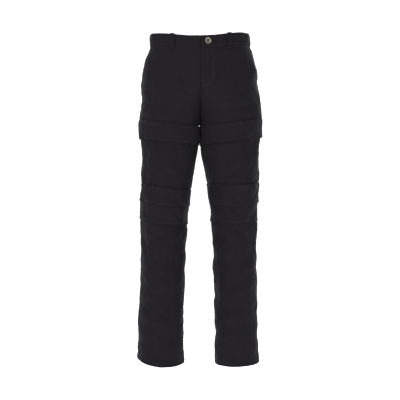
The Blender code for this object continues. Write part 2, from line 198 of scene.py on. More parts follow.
class Crease(NamedTuple):
    """Ridge, or trough where the height is below zero, with its half length and half width.

    The lean is its run's angle from upright, in degrees, towards larger angles, and the bend is its curve.
    """

    leg: Leg
    drop: float
    angle: float
    length: float
    width: float
    lean: float
    height: float
    bend: float = 0.0


SECTIONS = (
    Section(0.000, 0.1565, -0.1565, 0.1562, -0.1562, 0.104, 0.106),
    Section(0.037, 0.1555, -0.1555, 0.1578, -0.1578, 0.106, 0.109),
    Section(0.054, 0.1602, -0.1602, 0.1648, -0.1648, 0.109, 0.113),
    Section(0.078, 0.1702, -0.1670, 0.1718, -0.1685, 0.111, 0.117),
    Section(0.104, 0.1788, -0.1570, 0.1778, -0.1570, 0.113, 0.120),
    Section(0.135, 0.1828, -0.1260, 0.1820, -0.1260, 0.114, 0.123),
    Section(0.165, 0.1850, -0.0860, 0.1846, -0.0860, 0.113, 0.124),
    Section(0.190, 0.1826, -0.0560, 0.1880, -0.0560, 0.110, 0.122),
    Section(0.224, 0.1850, -0.0270, 0.1922, -0.0270, 0.104, 0.116),
    Section(0.265, 0.1885, -0.0110, 0.1962, -0.0110, 0.099, 0.107),
    Section(0.328, 0.1838, -0.0030, 0.1890, -0.0040, 0.094, 0.097),
    Section(0.358, 0.1822, 0.0042, 0.1875, -0.0010, 0.092, 0.092),
    Section(0.393, 0.1820, 0.0105, 0.1872, 0.0075, 0.090, 0.087),
    Section(0.442, 0.1845, 0.0182, 0.1872, 0.0198, 0.088, 0.080),
    Section(0.505, 0.1846, 0.0292, 0.1812, 0.0310, 0.084, 0.074),
    Section(0.568, 0.1843, 0.0384, 0.1790, 0.0372, 0.079, 0.072),
    Section(0.618, 0.1850, 0.0388, 0.1808, 0.0392, 0.076, 0.073),
    Section(0.668, 0.1845, 0.0430, 0.1800, 0.0412, 0.073, 0.074),
    Section(0.795, 0.1873, 0.0472, 0.1806, 0.0456, 0.069, 0.077),
    Section(0.896, 0.1918, 0.0496, 0.1806, 0.0475, 0.067, 0.077),
    Section(1.030, 0.1968, 0.0500, 0.1862, 0.0484, 0.066, 0.077),
)

THIGH_SEAM = {Leg.RIGHT: Edge(0.267, 0.285, 0.291, 0.285), Leg.LEFT: Edge(0.265, 0.283, 0.289, 0.283)}
THIGH_FLAP_END = {Leg.RIGHT: Edge(0.327, 0.343, 0.345, 0.343), Leg.LEFT: Edge(0.320, 0.340, 0.346, 0.340)}
KNEE_SEAM = {Leg.RIGHT: Edge(0.466, 0.480, 0.487, 0.480), Leg.LEFT: Edge(0.463, 0.472, 0.465, 0.472)}
KNEE_UPPER_END = {Leg.RIGHT: Edge(0.519, 0.536, 0.536, 0.535), Leg.LEFT: Edge(0.524, 0.538, 0.527, 0.536)}
KNEE_LOWER_END = {Leg.RIGHT: Edge(0.575, 0.594, 0.594, 0.592), Leg.LEFT: Edge(0.582, 0.591, 0.585, 0.590)}
HEM = {Leg.RIGHT: Edge(1.014, 1.031, 1.028, 1.027), Leg.LEFT: Edge(1.025, 1.030, 1.029, 1.028)}

R, L = Leg.RIGHT, Leg.LEFT

# The largest folds, as the solids have them
FOLDS = (
    Crease(R, 0.372, 42, 0.030, 0.014, -40, -0.0045),
    Crease(R, 0.448, 38, 0.016, 0.024, 70, -0.0050),
    Crease(R, 0.410, 118, 0.045, 0.018, 25, -0.0035),
    Crease(R, 0.648, 30, 0.018, 0.015, 60, -0.0045),
    Crease(R, 0.636, 118, 0.022, 0.022, -60, 0.0040),
    Crease(R, 0.795, 112, 0.140, 0.020, 4, -0.0040),
    Crease(R, 0.895, 55, 0.090, 0.024, -6, 0.0035),
    Crease(R, 0.635, -95, 0.018, 0.045, 80, -0.0060),
    Crease(R, 0.700, -80, 0.020, 0.042, 76, 0.0040),
    Crease(R, 0.400, -110, 0.035, 0.024, 50, -0.0045),
    Crease(L, 0.425, 62, 0.120, 0.018, 0, 0.0045),
    Crease(L, 0.448, 112, 0.030, 0.022, 45, -0.0045),
    Crease(L, 0.648, 40, 0.018, 0.016, -60, -0.0050),
    Crease(L, 0.636, 128, 0.024, 0.020, 55, -0.0035),
    Crease(L, 0.895, 72, 0.085, 0.022, 2, -0.0045),
    Crease(L, 0.855, 112, 0.090, 0.024, -5, 0.0035),
    Crease(L, 0.628, -88, 0.018, 0.045, -78, -0.0060),
    Crease(L, 0.695, -100, 0.020, 0.042, -80, 0.0040),
    Crease(L, 0.405, -100, 0.035, 0.024, 44, -0.0045),
)

# The finer creases, from the waist down: drag lines at the fork and seat, crumples by the flaps and knees
CREASES = (
    Crease(R, 0.192, 104, 0.034, 0.0075, 58, -0.0022, 3.0),
    Crease(R, 0.178, 96, 0.040, 0.0080, 52, 0.0014, 3.0),
    Crease(R, 0.166, 92, 0.036, 0.0080, 40, -0.0015, 2.0),
    Crease(R, 0.232, 78, 0.034, 0.0090, 76, -0.0018, -2.0),
    Crease(R, 0.205, 46, 0.030, 0.0085, 24, -0.0016, 2.0),
    Crease(R, 0.098, 42, 0.042, 0.0100, 30, -0.0014, 1.5),
    Crease(R, 0.070, 88, 0.022, 0.0090, 8, -0.0012),
    Crease(R, 0.238, 22, 0.026, 0.0090, -34, -0.0016),
    Crease(R, 0.365, 70, 0.030, 0.0080, 18, -0.0016, 2.0),
    Crease(R, 0.395, 88, 0.038, 0.0090, -12, 0.0015),
    Crease(R, 0.388, 20, 0.026, 0.0080, -28, 0.0016, 2.0),
    Crease(R, 0.436, 96, 0.022, 0.0075, 62, -0.0018, 3.0),
    Crease(R, 0.452, 66, 0.020, 0.0070, 78, 0.0014, -3.0),
    Crease(R, 0.500, 60, 0.022, 0.0100, 82, -0.0014, 4.0),
    Crease(R, 0.512, 116, 0.020, 0.0080, -64, -0.0018),
    Crease(R, 0.566, 124, 0.018, 0.0070, 48, -0.0026, 4.0),
    Crease(R, 0.572, 82, 0.020, 0.0080, -52, -0.0016),
    Crease(R, 0.560, 36, 0.016, 0.0075, 40, 0.0015),
    Crease(R, 0.612, 60, 0.018, 0.0070, 66, -0.0018, 4.0),
    Crease(R, 0.626, 92, 0.022, 0.0080, -70, -0.0016, 3.0),
    Crease(R, 0.668, 22, 0.015, 0.0060, 58, 0.0018),
    Crease(R, 0.684, 44, 0.018, 0.0070, 50, -0.0016, 3.0),
    Crease(R, 0.720, 128, 0.040, 0.0090, 10, -0.0018, 1.0),
    Crease(R, 0.760, 74, 0.075, 0.0110, -4, -0.0018),
    Crease(R, 0.848, 92, 0.060, 0.0100, 3, 0.0014),
    Crease(R, 0.930, 126, 0.048, 0.0100, -8, -0.0020),
    Crease(R, 0.968, 78, 0.030, 0.0100, 22, -0.0014, 2.0),
    Crease(R, 0.992, 34, 0.020, 0.0080, -38, -0.0014, 3.0),
    Crease(R, 0.205, -80, 0.044, 0.0110, 74, -0.0026, 3.0),
    Crease(R, 0.232, -98, 0.048, 0.0100, 82, 0.0018, 3.0),
    Crease(R, 0.250, -70, 0.046, 0.0100, 80, -0.0026, 4.0),
    Crease(R, 0.170, -112, 0.036, 0.0090, -36, -0.0020, 2.0),
    Crease(R, 0.120, -58, 0.050, 0.0130, -22, -0.0016, 1.0),
    Crease(R, 0.372, -74, 0.030, 0.0090, 52, -0.0022, 3.0),
    Crease(R, 0.430, -60, 0.034, 0.0090, 66, -0.0020, -2.0),
    Crease(R, 0.448, -104, 0.028, 0.0085, -60, 0.0018),
    Crease(R, 0.508, -84, 0.036, 0.0090, 84, -0.0026, 3.0),
    Crease(R, 0.560, -106, 0.034, 0.0085, -76, -0.0026, -3.0),
    Crease(R, 0.574, -66, 0.028, 0.0080, 70, 0.0018),
    Crease(R, 0.612, -72, 0.030, 0.0080, 74, 0.0022, 3.0),
    Crease(R, 0.664, -110, 0.034, 0.0085, -72, -0.0028, -3.0),
    Crease(R, 0.676, -56, 0.028, 0.0080, 62, -0.0022, 4.0),
    Crease(R, 0.735, -98, 0.036, 0.0095, -58, -0.0020, -2.0),
    Crease(R, 0.800, -70, 0.060, 0.0120, 18, -0.0020),
    Crease(R, 0.900, -104, 0.070, 0.0120, -8, -0.0018),
    Crease(R, 0.985, -82, 0.030, 0.0100, 66, -0.0018, 3.0),
    Crease(R, 0.420, -8, 0.050, 0.0100, 10, -0.0018, 1.0),
    Crease(R, 0.650, -22, 0.024, 0.0080, 60, -0.0022, 3.0),
    Crease(R, 0.540, -30, 0.018, 0.0075, 56, -0.0016, 3.0),
    Crease(R, 0.780, -150, 0.060, 0.0100, 6, -0.0018),
    Crease(L, 0.188, 102, 0.030, 0.0075, 62, -0.0020, 3.0),
    Crease(L, 0.202, 88, 0.036, 0.0080, 66, 0.0013, 2.0),
    Crease(L, 0.172, 84, 0.030, 0.0085, 46, -0.0013, 2.0),
    Crease(L, 0.236, 64, 0.038, 0.0095, 80, -0.0018, -2.0),
    Crease(L, 0.214, 34, 0.028, 0.0085, 16, -0.0016, 2.0),
    Crease(L, 0.092, 52, 0.036, 0.0110, 34, -0.0012, 1.5),
    Crease(L, 0.064, 96, 0.020, 0.0085, -6, -0.0012),
    Crease(L, 0.246, 96, 0.026, 0.0080, 64, -0.0014),
    Crease(L, 0.362, 44, 0.038, 0.0095, -14, -0.0018, 1.0),
    Crease(L, 0.390, 92, 0.036, 0.0085, 14, -0.0018, 2.0),
    Crease(L, 0.420, 30, 0.034, 0.0085, -20, 0.0014),
    Crease(L, 0.440, 84, 0.024, 0.0075, -62, -0.0018, 3.0),
    Crease(L, 0.452, 48, 0.020, 0.0070, 72, 0.0014, 3.0),
    Crease(L, 0.498, 92, 0.024, 0.0095, 80, -0.0014, -3.0),
    Crease(L, 0.508, 40, 0.022, 0.0080, 58, -0.0018, 2.0),
    Crease(L, 0.558, 52, 0.018, 0.0065, 62, 0.0022, 4.0),
    Crease(L, 0.566, 66, 0.018, 0.0060, 70, -0.0022, 4.0),
    Crease(L, 0.573, 46, 0.016, 0.0060, -58, -0.0020, 3.0),
    Crease(L, 0.562, 108, 0.022, 0.0080, -44, -0.0016),
    Crease(L, 0.612, 84, 0.020, 0.0070, -66, -0.0016, 3.0),
    Crease(L, 0.622, 22, 0.018, 0.0070, 44, 0.0018, 3.0),
    Crease(L, 0.668, 56, 0.016, 0.0060, -54, 0.0018, 3.0),
    Crease(L, 0.690, 30, 0.020, 0.0070, -48, -0.0018, 3.0),
    Crease(L, 0.730, 98, 0.048, 0.0100, 6, -0.0018),
    Crease(L, 0.790, 60, 0.070, 0.0110, 3, 0.0016),
    Crease(L, 0.820, 36, 0.060, 0.0100, -5, -0.0016),
    Crease(L, 0.940, 104, 0.050, 0.0100, 8, -0.0018),
    Crease(L, 0.975, 62, 0.030, 0.0095, -24, -0.0014, 2.0),
    Crease(L, 0.998, 110, 0.020, 0.0080, 36, -0.0014, 3.0),
    Crease(L, 0.212, -90, 0.046, 0.0110, 80, -0.0026, 3.0),
    Crease(L, 0.238, -76, 0.050, 0.0100, 76, 0.0018, 4.0),
    Crease(L, 0.254, -94, 0.044, 0.0095, 86, -0.0024, 4.0),
    Crease(L, 0.164, -106, 0.038, 0.0090, -40, -0.0020, 2.0),
    Crease(L, 0.126, -66, 0.046, 0.0130, -18, -0.0016, 1.0),
    Crease(L, 0.368, -86, 0.034, 0.0090, 58, -0.0022, 3.0),
    Crease(L, 0.426, -70, 0.030, 0.0085, 62, -0.0020, -2.0),
    Crease(L, 0.446, -112, 0.026, 0.0080, -56, 0.0018),
    Crease(L, 0.512, -96, 0.036, 0.0090, -82, -0.0026, -3.0),
    Crease(L, 0.556, -74, 0.032, 0.0085, 76, -0.0024, 3.0),
    Crease(L, 0.572, -108, 0.028, 0.0080, -68, 0.0018),
    Crease(L, 0.608, -104, 0.030, 0.0080, -70, 0.0022, -3.0),
    Crease(L, 0.660, -68, 0.036, 0.0085, 70, -0.0028, 3.0),
    Crease(L, 0.672, -116, 0.028, 0.0080, -60, -0.0022, -4.0),
    Crease(L, 0.728, -84, 0.038, 0.0095, 56, -0.0020, 2.0),
    Crease(L, 0.810, -106, 0.056, 0.0120, -14, -0.0020),
    Crease(L, 0.890, -72, 0.066, 0.0120, 10, -0.0018),
    Crease(L, 0.990, -98, 0.028, 0.0100, -64, -0.0018, -3.0),
    Crease(L, 0.410, -14, 0.054, 0.0100, 8, -0.0018, 1.0),
    Crease(L, 0.655, -26, 0.026, 0.0080, 58, -0.0022, 3.0),
    Crease(L, 0.545, -24, 0.020, 0.0075, 52, -0.0016, 3.0),
    Crease(L, 0.770, -146, 0.058, 0.0100, -4, -0.0018),
)


def ease(start: float, stop: float, value: Array | float) -> Array:
    """Smooth step from 0 to 1.

    Args:
        start: Value at which the step begins.
        stop: Value at which it ends.
        value: Numbers to step.

    Returns:
        The step at each number.
    """
    share = np.clip((value - start) / (stop - start), 0.0, 1.0)
    return share * share * (3.0 - 2.0 * share)


def unit(vectors: Array) -> Array:
    """Vectors of length 1.

    Args:
        vectors: Rows of three numbers.

    Returns:
        The rows, each divided by its length.
    """
    return vectors / np.linalg.norm(vectors, axis=-1, keepdims=True)


def edge_drop(edge: Edge, angle: Array) -> Array:
    """Drop of a seam or free edge round a leg.

    Args:
        edge: Its drops at the four sides.
        angle: Angles round the leg, in radians.

    Returns:
        The drop at each angle.
    """
    mean = sum(edge) / 4
    across = (edge.outer - edge.inner) / 2
    along = (edge.front - edge.back) / 2
    saddle = (edge.outer + edge.inner - edge.front - edge.back) / 4
    return mean + across * np.cos(angle) + along * np.sin(angle) + saddle * np.cos(2 * angle)


@dataclass(frozen=True)
class Crumple:
    """Slight unevenness of worn cloth: waves of unlike lengths in all directions, the same on every layer."""

    waves: int = 60
    shortest: float = 0.014
    longest: float = 0.120
    height: float = 0.00042
    upright: float = 0.8
    fading: float = 0.7
    seed: int = 7

    def at(self, points: Array) -> Array:
        """Height of the waves.

        Args:
            points: Rows of x, y, z on the unfolded form.

        Returns:
            The height at each point.
        """
        draw = np.random.default_rng(self.seed)
        total = np.zeros(points.shape[:-1])
        for _ in range(self.waves):
            length = math.exp(draw.uniform(math.log(self.shortest), math.log(self.longest)))
            direction = unit(draw.normal(size=3) * (1.0, 1.0, self.upright))
            phase = draw.uniform(0.0, math.tau)
            lift = (length / self.longest) ** self.fading
            total += lift * np.sin(points @ direction * (math.tau / length) + phase)
        return total * self.height


class Figure:
    """The filled-out form of the trousers, as its sections, seams and folds give it."""

    def __init__(self, sections: Sequence[Section], creases: Sequence[Crease], crumple: Crumple) -> None:
        """Reads the sections into columns.

        Args:
            sections: Rows from the waist down.
            creases: Folds and creases.
            crumple: Unevenness of all the cloth.
        """
        self.drops = np.array([row.drop for row in sections])
        self.values = {name: np.array([getattr(row, name) for row in sections]) for name in Section._fields}
        self.slopes = {name: self.slope(column) for name, column in self.values.items()}
        self.creases = creases
        self.crumple = crumple

    def slope(self, column: Array) -> Array:
        """Slope of a column at each section, across its neighbours."""
        ends = np.clip(np.arange(len(column)) + np.array([[-1], [1]]), 0, len(column) - 1)
        return (column[ends[1]] - column[ends[0]]) / (self.drops[ends[1]] - self.drops[ends[0]])

    def read(self, name: str, drop: Array) -> Array:
        """A column at any drop, on a smooth curve through the sections.

        Args:
            name: Column of Section.
            drop: Drops to read at.

        Returns:
            The column's value at each drop.
        """
        drop = np.clip(drop, self.drops[0], self.drops[-1])
        low = np.clip(np.searchsorted(self.drops, drop, side="right") - 1, 0, len(self.drops) - 2)
        run = self.drops[low + 1] - self.drops[low]
        t = (drop - self.drops[low]) / run
        value, slope = self.values[name], self.slopes[name]
        return (
            value[low] * (2 * t**3 - 3 * t**2 + 1)
            + value[low + 1] * (3 * t**2 - 2 * t**3)
            + slope[low] * run * (t**3 - 2 * t**2 + t)
            + slope[low + 1] * run * (t**3 - t**2)
        )

    def oval(self, leg: Leg, drop: Array) -> tuple[Array, Array]:
        """Distance of a leg's middle from the centre plane, and its half width.

        Args:
            leg: The leg.
            drop: Drops to read at.

        Returns:
            The middles and the half widths.
        """
        outer = self.read(f"{leg.value}_outer", drop)
        inner = self.read(f"{leg.value}_inner", drop)
        return (outer + inner) / 2, (outer - inner) / 2

    def last_angle(self, leg: Leg, drop: Array) -> Array:
        """Angle of the centre seam above the crotch, or of the inseam below it.

        Args:
            leg: The leg.
            drop: Drops to read at.

        Returns:
            The angle at each drop.
        """
        inseam = math.pi + MEET / self.read("front", drop)
        middle, half = self.oval(leg, drop)
        cut = np.arccos(np.clip((-MEET - middle) / half, -1.0, 1.0))
        up = np.clip((CROTCH - drop) / FORK_RISE, 0.0, 1.0)
        fork = math.pi - np.arcsin(np.sin(cut) * np.sqrt(1 - (1 - up) ** 2))
        above = np.where(up >= 1, cut, np.minimum(fork, inseam))
        return np.where(drop >= CROTCH, inseam, above)

    def reach(self, leg: Leg, angle: Array, drop: Array) -> Array:
        """Distance from the centre plane, flattened where the thighs press on each other.

        Args:
            leg: The leg.
            angle: Angles round it.
            drop: Drops.

        Returns:
            The distance at each place.
        """
        middle, half = self.oval(leg, drop)
        free = middle + half * np.cos(angle)
        level = -MEET + (PRESS + 2 * MEET) * ease(PRESS_START, PRESS_END, drop)
        soft = PRESS_SHARP + PRESS_SOFT * ease(CROTCH - FORK_RISE, CROTCH + PRESS_ROUNDED, drop)
        pressed = level + soft * np.logaddexp(0.0, (free - level) / soft)
        return np.where(drop < CROTCH - FORK_RISE, free, pressed)

    def skin(self, leg: Leg, angle: Array, drop: Array) -> Array:
        """Points of the unfolded form.

        Args:
            leg: The leg.
            angle: Angles round it.
            drop: Drops.

        Returns:
            Rows of x, y, z.
        """
        aside = self.reach(leg, angle, drop)
        depth = np.where(angle > 0, self.read("front", drop), self.read("back", drop))
        y = -depth * np.sin(angle)
        pressed = ease(CROTCH, PRESS_START, drop) * (1 - ease(TURN_FADE_START, TURN_FADE_END, drop))
        turn = TURN + (TURN_PRESSED - TURN) * pressed
        x = leg.side * aside - turn * y * np.exp(-((aside / TURN_REACH) ** 2))
        round_in = np.abs(np.sin(angle))
        lift = np.where(angle > 0, -FRONT_DIP * round_in**FRONT_POWER, BACK_RISE * round_in**BACK_POWER)
        z = TOP - drop + (lift + SIDE_TILT * x) * (1 - ease(0.0, DIP_END, drop))
        return np.stack([x, y, z], axis=-1)

    def outward(self, leg: Leg, angle: Array, drop: Array) -> Array:
        """Unit normals of the unfolded form.

        Args:
            leg: The leg.
            angle: Angles round it.
            drop: Drops.

        Returns:
            Rows of x, y, z that point out.
        """
        step = NORMAL_STEP
        round_leg = self.skin(leg, angle + step, drop) - self.skin(leg, angle - step, drop)
        down_leg = self.skin(leg, angle, drop + step) - self.skin(leg, angle, drop - step)
        return unit(leg.side * np.cross(round_leg, down_leg))

    def crease_height(self, leg: Leg, angle: Array, drop: Array) -> Array:
        """Sum of the folds and creases.

        Args:
            leg: The leg.
            angle: Angles round it.
            drop: Drops.

        Returns:
            The height at each place.
        """
        total = np.zeros(np.broadcast(angle, drop).shape)
        for crease in self.creases:
            if crease.leg is not leg:
                continue
            turn = (np.degrees(angle) - crease.angle + 180) % 360 - 180
            aside = np.radians(turn) * FOLD_RADIUS
            down = drop - crease.drop
            lean = math.radians(crease.lean)
            along = down * math.cos(lean) + aside * math.sin(lean)
            across = aside * math.cos(lean) - down * math.sin(lean) + crease.bend * along**2
            total += crease.height * np.exp(-((along / crease.length) ** 2) - (across / crease.width) ** 2)
        return total

    def lay(self, leg: Leg, angle: Array, drop: Array, out: Array | float = 0.0) -> tuple[Array, Array]:
        """Places of the folded cloth.

        Args:
            leg: The leg.
            angle: Angles round it.
            drop: Drops.
            out: Distance out from the folded form.

        Returns:
            Points and unit normals.
        """
        skin = self.skin(leg, angle, drop)
        normal = self.outward(leg, angle, drop)
        clear = ease(0.0, FOLD_CLEAR, self.reach(leg, angle, drop))
        height = (self.crease_height(leg, angle, drop) + self.crumple.at(skin)) * clear
        return skin + normal * (height + out)[..., None], normal

    def near_front(self, aside: Array, drop: Array, leg: Leg) -> Array:
        """Angles of places beside the centre front.

        Args:
            aside: Distances from the centre front.
            drop: Drops.
            leg: The leg on which they lie.

        Returns:
            The angle of each place.
        """
        _, half = self.oval(leg, drop)
        angle = self.last_angle(leg, drop)
        speed = np.hypot(half * np.sin(angle), self.read("front", drop) * np.cos(angle))
        return angle - np.abs(aside) / speed


FIGURE = Figure(SECTIONS, FOLDS + CREASES, Crumple())


class Grid(NamedTuple):
    """Laid-out cloth in rows from the bottom up and columns from the left."""

    points: Array
    normals: Array

    @property
    def across(self) -> Array:
        """Distance of each point from the left edge, along its row."""
        steps = np.linalg.norm(np.diff(self.points, axis=1), axis=-1)
        return np.concatenate([np.zeros((len(steps), 1)), np.cumsum(steps, axis=1)], axis=1)

    @property
    def up(self) -> Array:
        """Distance of each point from the bottom edge, along its column."""
        steps = np.linalg.norm(np.diff(self.points, axis=0), axis=-1)
        return np.concatenate([np.zeros((1, steps.shape[1])), np.cumsum(steps, axis=0)], axis=0)

    def area(self) -> float:
        """Area of the cloth, in square metres."""
        across = self.points[1:, 1:] - self.points[:-1, :-1]
        up = self.points[1:, :-1] - self.points[:-1, 1:]
        return float(np.linalg.norm(np.cross(across, up), axis=-1).sum() / 2)


class Inset(NamedTuple):
    """Distances of each place from the four edges of a piece, and along it."""

    left: Array
    right: Array
    bottom: Array
    top: Array
    along: Array
    up: Array


class Line(NamedTuple):
    """Line on a piece of cloth."""

    points: Array
    normals: Array


def ripple(along: Array, pitch: float = 0.0105) -> Array:
    """Uneven pucker along a seam, from -1 to 1.

    Args:
        along: Distance along the seam.
        pitch: Mean distance between puckers.

    Returns:
        The pucker at each distance.
    """
    drift = 1.9 * np.sin(along * math.tau / 0.047) + 1.1 * np.sin(along * math.tau / 0.019 + 1.3)
    swell = 0.65 + 0.35 * np.sin(along * math.tau / 0.083 + 0.6)
    return swell * np.sin(along * math.tau / pitch + drift)


def bump_at(distance: Array, place: float, width: float) -> Array:
    """Soft rise, 1 at a distance from an edge and 0 away from it.

    Args:
        distance: Distances from the edge.
        place: Where the rise peaks.
        width: Its half width.

    Returns:
        The rise at each distance.
    """
    return np.exp(-(((distance - place) / width) ** 2))


NEAR_EDGE = (0.0006, 0.0014, 0.0024, 0.0038, 0.0058, 0.0082)


def graded(length: float, step: float, near: Sequence[float] = NEAR_EDGE) -> Array:
    """Shares of a length with closer steps near both ends.

    Args:
        length: The length.
        step: Even step between the ends.
        near: Distances from each end, the last one where the even steps start.

    Returns:
        Shares from 0 to 1.
    """
    count = max(round((length - 2 * near[-1]) / step), 2)
    middle = np.linspace(near[-1], length - near[-1], count + 1)
    ends = np.array(near[:-1])
    return np.concatenate([[0.0], ends, middle, length - ends[::-1], [length]]) / length


class Socket:
    """A node socket that takes part in Python expressions, which add Math nodes."""

    def __init__(self, shader: "Shader", output: bpy.types.NodeSocket) -> None:
        """Wraps a socket.

        Args:
            shader: The node tree's builder.
            output: The socket.
        """
        self.shader = shader
        self.output = output

    def math(self, operation: str, *values: "Socket | float") -> "Socket":
        """Math node on the given values."""
        node = self.shader.node("ShaderNodeMath", {"operation": operation}, dict(enumerate(values)))
        return Socket(self.shader, node.outputs[0])

    def __add__(self, other: "Socket | float") -> "Socket":
        """Sum."""
        return self.math("ADD", self, other)

    def __radd__(self, other: float) -> "Socket":
        """Sum with a number first."""
        return self.math("ADD", other, self)

    def __sub__(self, other: "Socket | float") -> "Socket":
        """Difference."""
        return self.math("SUBTRACT", self, other)

    def __rsub__(self, other: float) -> "Socket":
        """Difference from a number."""
        return self.math("SUBTRACT", other, self)

    def __mul__(self, other: "Socket | float") -> "Socket":
        """Product."""
        return self.math("MULTIPLY", self, other)

    def __rmul__(self, other: float) -> "Socket":
        """Product with a number first."""
        return self.math("MULTIPLY", other, self)

    def sine(self) -> "Socket":
        """Sine."""
        return self.math("SINE", self)


class Shader:
    """Node tree of one material, with its Principled BSDF."""

    def __init__(self, name: str) -> None:
        """Makes the material.

        Args:
            name: The material's name.
        """
        self.material = bpy.data.materials.new(name)
        self.material.use_nodes = True
        self.tree = self.material.node_tree
        self.principled = self.tree.nodes["Principled BSDF"]

    def node(self, kind: str, settings: dict | None = None, inputs: dict | None = None) -> bpy.types.Node:
        """Adds a node.

        Args:
            kind: Type of the node.
            settings: Properties, set before the inputs.
            inputs: Values, sockets or wrapped sockets by input name or number.

        Returns:
            The node.
        """
        node = self.tree.nodes.new(kind)
        for key, value in (settings or {}).items():
            setattr(node, key, value)
        for key, value in (inputs or {}).items():
            self.feed(node.inputs[key], value)
        return node

    def feed(self, target: bpy.types.NodeSocket, value: object) -> None:
        """Links or sets an input.

        Args:
            target: The input.
            value: A wrapped socket, a socket, or a value.
        """
        source = value.output if isinstance(value, Socket) else value
        if isinstance(source, bpy.types.NodeSocket):
            self.tree.links.new(source, target)
        else:
            target.default_value = source

    def output(self, node: bpy.types.Node, name: str | int = 0) -> Socket:
        """Wrapped output of a node."""
        return Socket(self, node.outputs[name])

    def noise(self, vector: object, scale: float, detail: float, roughness: float = 0.5) -> Socket:
        """Noise from 0 to 1.

        Args:
            vector: Coordinates.
            scale: Repeats a metre.
            detail: Octaves.
            roughness: Strength of the finer octaves.

        Returns:
            The noise value.
        """
        sizes = {"Vector": vector, "Scale": scale, "Detail": detail, "Roughness": roughness}
        return self.output(self.node("ShaderNodeTexNoise", {"noise_dimensions": "3D"}, sizes), "Fac")

    def mix(self, factor: Socket, first: Sequence[float], second: Sequence[float]) -> Socket:
        """Mix of two colours.

        Args:
            factor: 0 for the first colour, 1 for the second.
            first: Red, green and blue.
            second: Red, green and blue.

        Returns:
            The colour.
        """
        node = self.node("ShaderNodeMix", {"data_type": "RGBA", "clamp_factor": True})
        self.feed(node.inputs[0], factor)
        node.inputs[6].default_value = (*first, 1.0)
        node.inputs[7].default_value = (*second, 1.0)
        return self.output(node, 2)

    def surface(self, **values: object) -> None:
        """Sets or links inputs of the Principled BSDF, named with _ for spaces."""
        for key, value in values.items():
            self.feed(self.principled.inputs[key.replace("_", " ")], value)

    def bump(self, height: Socket, distance: float, strength: float) -> None:
        """Bump into the normal.

        Args:
            height: Height from 0 to 1.
            distance: Real height of 1, in metres.
            strength: Share of it that is used.
        """
        settings = {"Height": height, "Distance": distance, "Strength": strength}
        self.surface(Normal=self.output(self.node("ShaderNodeBump", None, settings)))


@dataclass(frozen=True)
class TwillFinish:
    """Fine matt twill: steep ribs, slubbed yarns, slight unevenness of the dye and a dry sheen."""

    name: str
    dark: tuple[float, float, float]
    light: tuple[float, float, float]
    pitch: float = 0.0011
    steepness: float = 63.0
    rib: float = 0.00011
    roughness: float = 0.80
    sheen: float = 0.04

    def make(self) -> bpy.types.Material:
        """Builds the material.

        Returns:
            The material, which reads the piece's own map in metres.
        """
        shader = Shader(self.name)
        cloth = shader.node("ShaderNodeUVMap", {"uv_map": "cloth"}).outputs[0]
        parts = shader.node("ShaderNodeSeparateXYZ", None, {0: cloth})
        across, up = shader.output(parts, 0), shader.output(parts, 1)
        lean = math.radians(self.steepness)
        waver = shader.noise(cloth, 140.0, 2.0)
        run = across * math.sin(lean) - up * math.cos(lean) + waver * (self.pitch * 0.35)
        rib = (run * (math.tau / self.pitch)).sine() * 0.5 + 0.5
        yarn = (up * (math.tau / (self.pitch * 0.62)) + across * 900.0).sine() * 0.5 + 0.5
        slub = shader.noise(cloth, 1600.0, 2.0, 0.6)
        mottle = shader.noise(cloth, 22.0, 3.0, 0.55)
        shade = rib * 0.30 + slub * 0.25 + mottle * 0.45
        shader.surface(
            Base_Color=shader.mix(shade, self.dark, self.light),
            Roughness=mottle * 0.08 + (self.roughness - 0.04),
            Specular_IOR_Level=0.12,
            Sheen_Weight=self.sheen,
            Sheen_Roughness=0.42,
            Sheen_Tint=(0.86, 0.84, 0.92, 1.0),
        )
        shader.bump(rib * 0.65 + yarn * 0.15 + slub * 0.20, self.rib, 0.8)
        return shader.material


@dataclass(frozen=True)
class PlainFinish:
    """Plain weave of the facings: threads that cross at right angles."""

    name: str
    dark: tuple[float, float, float]
    light: tuple[float, float, float]
    pitch: float = 0.0008

    def make(self) -> bpy.types.Material:
        """Builds the material.

        Returns:
            The material, which reads the piece's own map in metres.
        """
        shader = Shader(self.name)
        cloth = shader.node("ShaderNodeUVMap", {"uv_map": "cloth"}).outputs[0]
        parts = shader.node("ShaderNodeSeparateXYZ", None, {0: cloth})
        warp = (shader.output(parts, 0) * (math.tau / self.pitch)).sine()
        weft = (shader.output(parts, 1) * (math.tau / self.pitch)).sine()
        weave = warp * weft * 0.5 + 0.5
        slub = shader.noise(cloth, 1200.0, 2.0)
        shader.surface(
            Base_Color=shader.mix(weave * 0.5 + slub * 0.5, self.dark, self.light),
            Roughness=slub * 0.10 + 0.80,
            Specular_IOR_Level=0.25,
            Sheen_Weight=0.10,
            Sheen_Roughness=0.5,
        )
        shader.bump(weave * 0.7 + slub * 0.3, 0.00008, 0.7)
        return shader.material


@dataclass(frozen=True)
class ThreadFinish:
    """Spun sewing thread, a little shinier than the cloth."""

    name: str
    colour: tuple[float, float, float]

    def make(self) -> bpy.types.Material:
        """Builds the material.

        Returns:
            The material, which reads Object coordinates.
        """
        shader = Shader(self.name)
        place = shader.node("ShaderNodeTexCoord").outputs["Object"]
        fibre = shader.noise(place, 2400.0, 2.0, 0.6)
        pale = tuple(value * 1.35 for value in self.colour)
        shader.surface(
            Base_Color=shader.mix(fibre, self.colour, pale),
            Roughness=fibre * 0.15 + 0.50,
            Specular_IOR_Level=0.4,
            Sheen_Weight=0.10,
        )
        shader.bump(fibre, 0.00005, 0.6)
        return shader.material


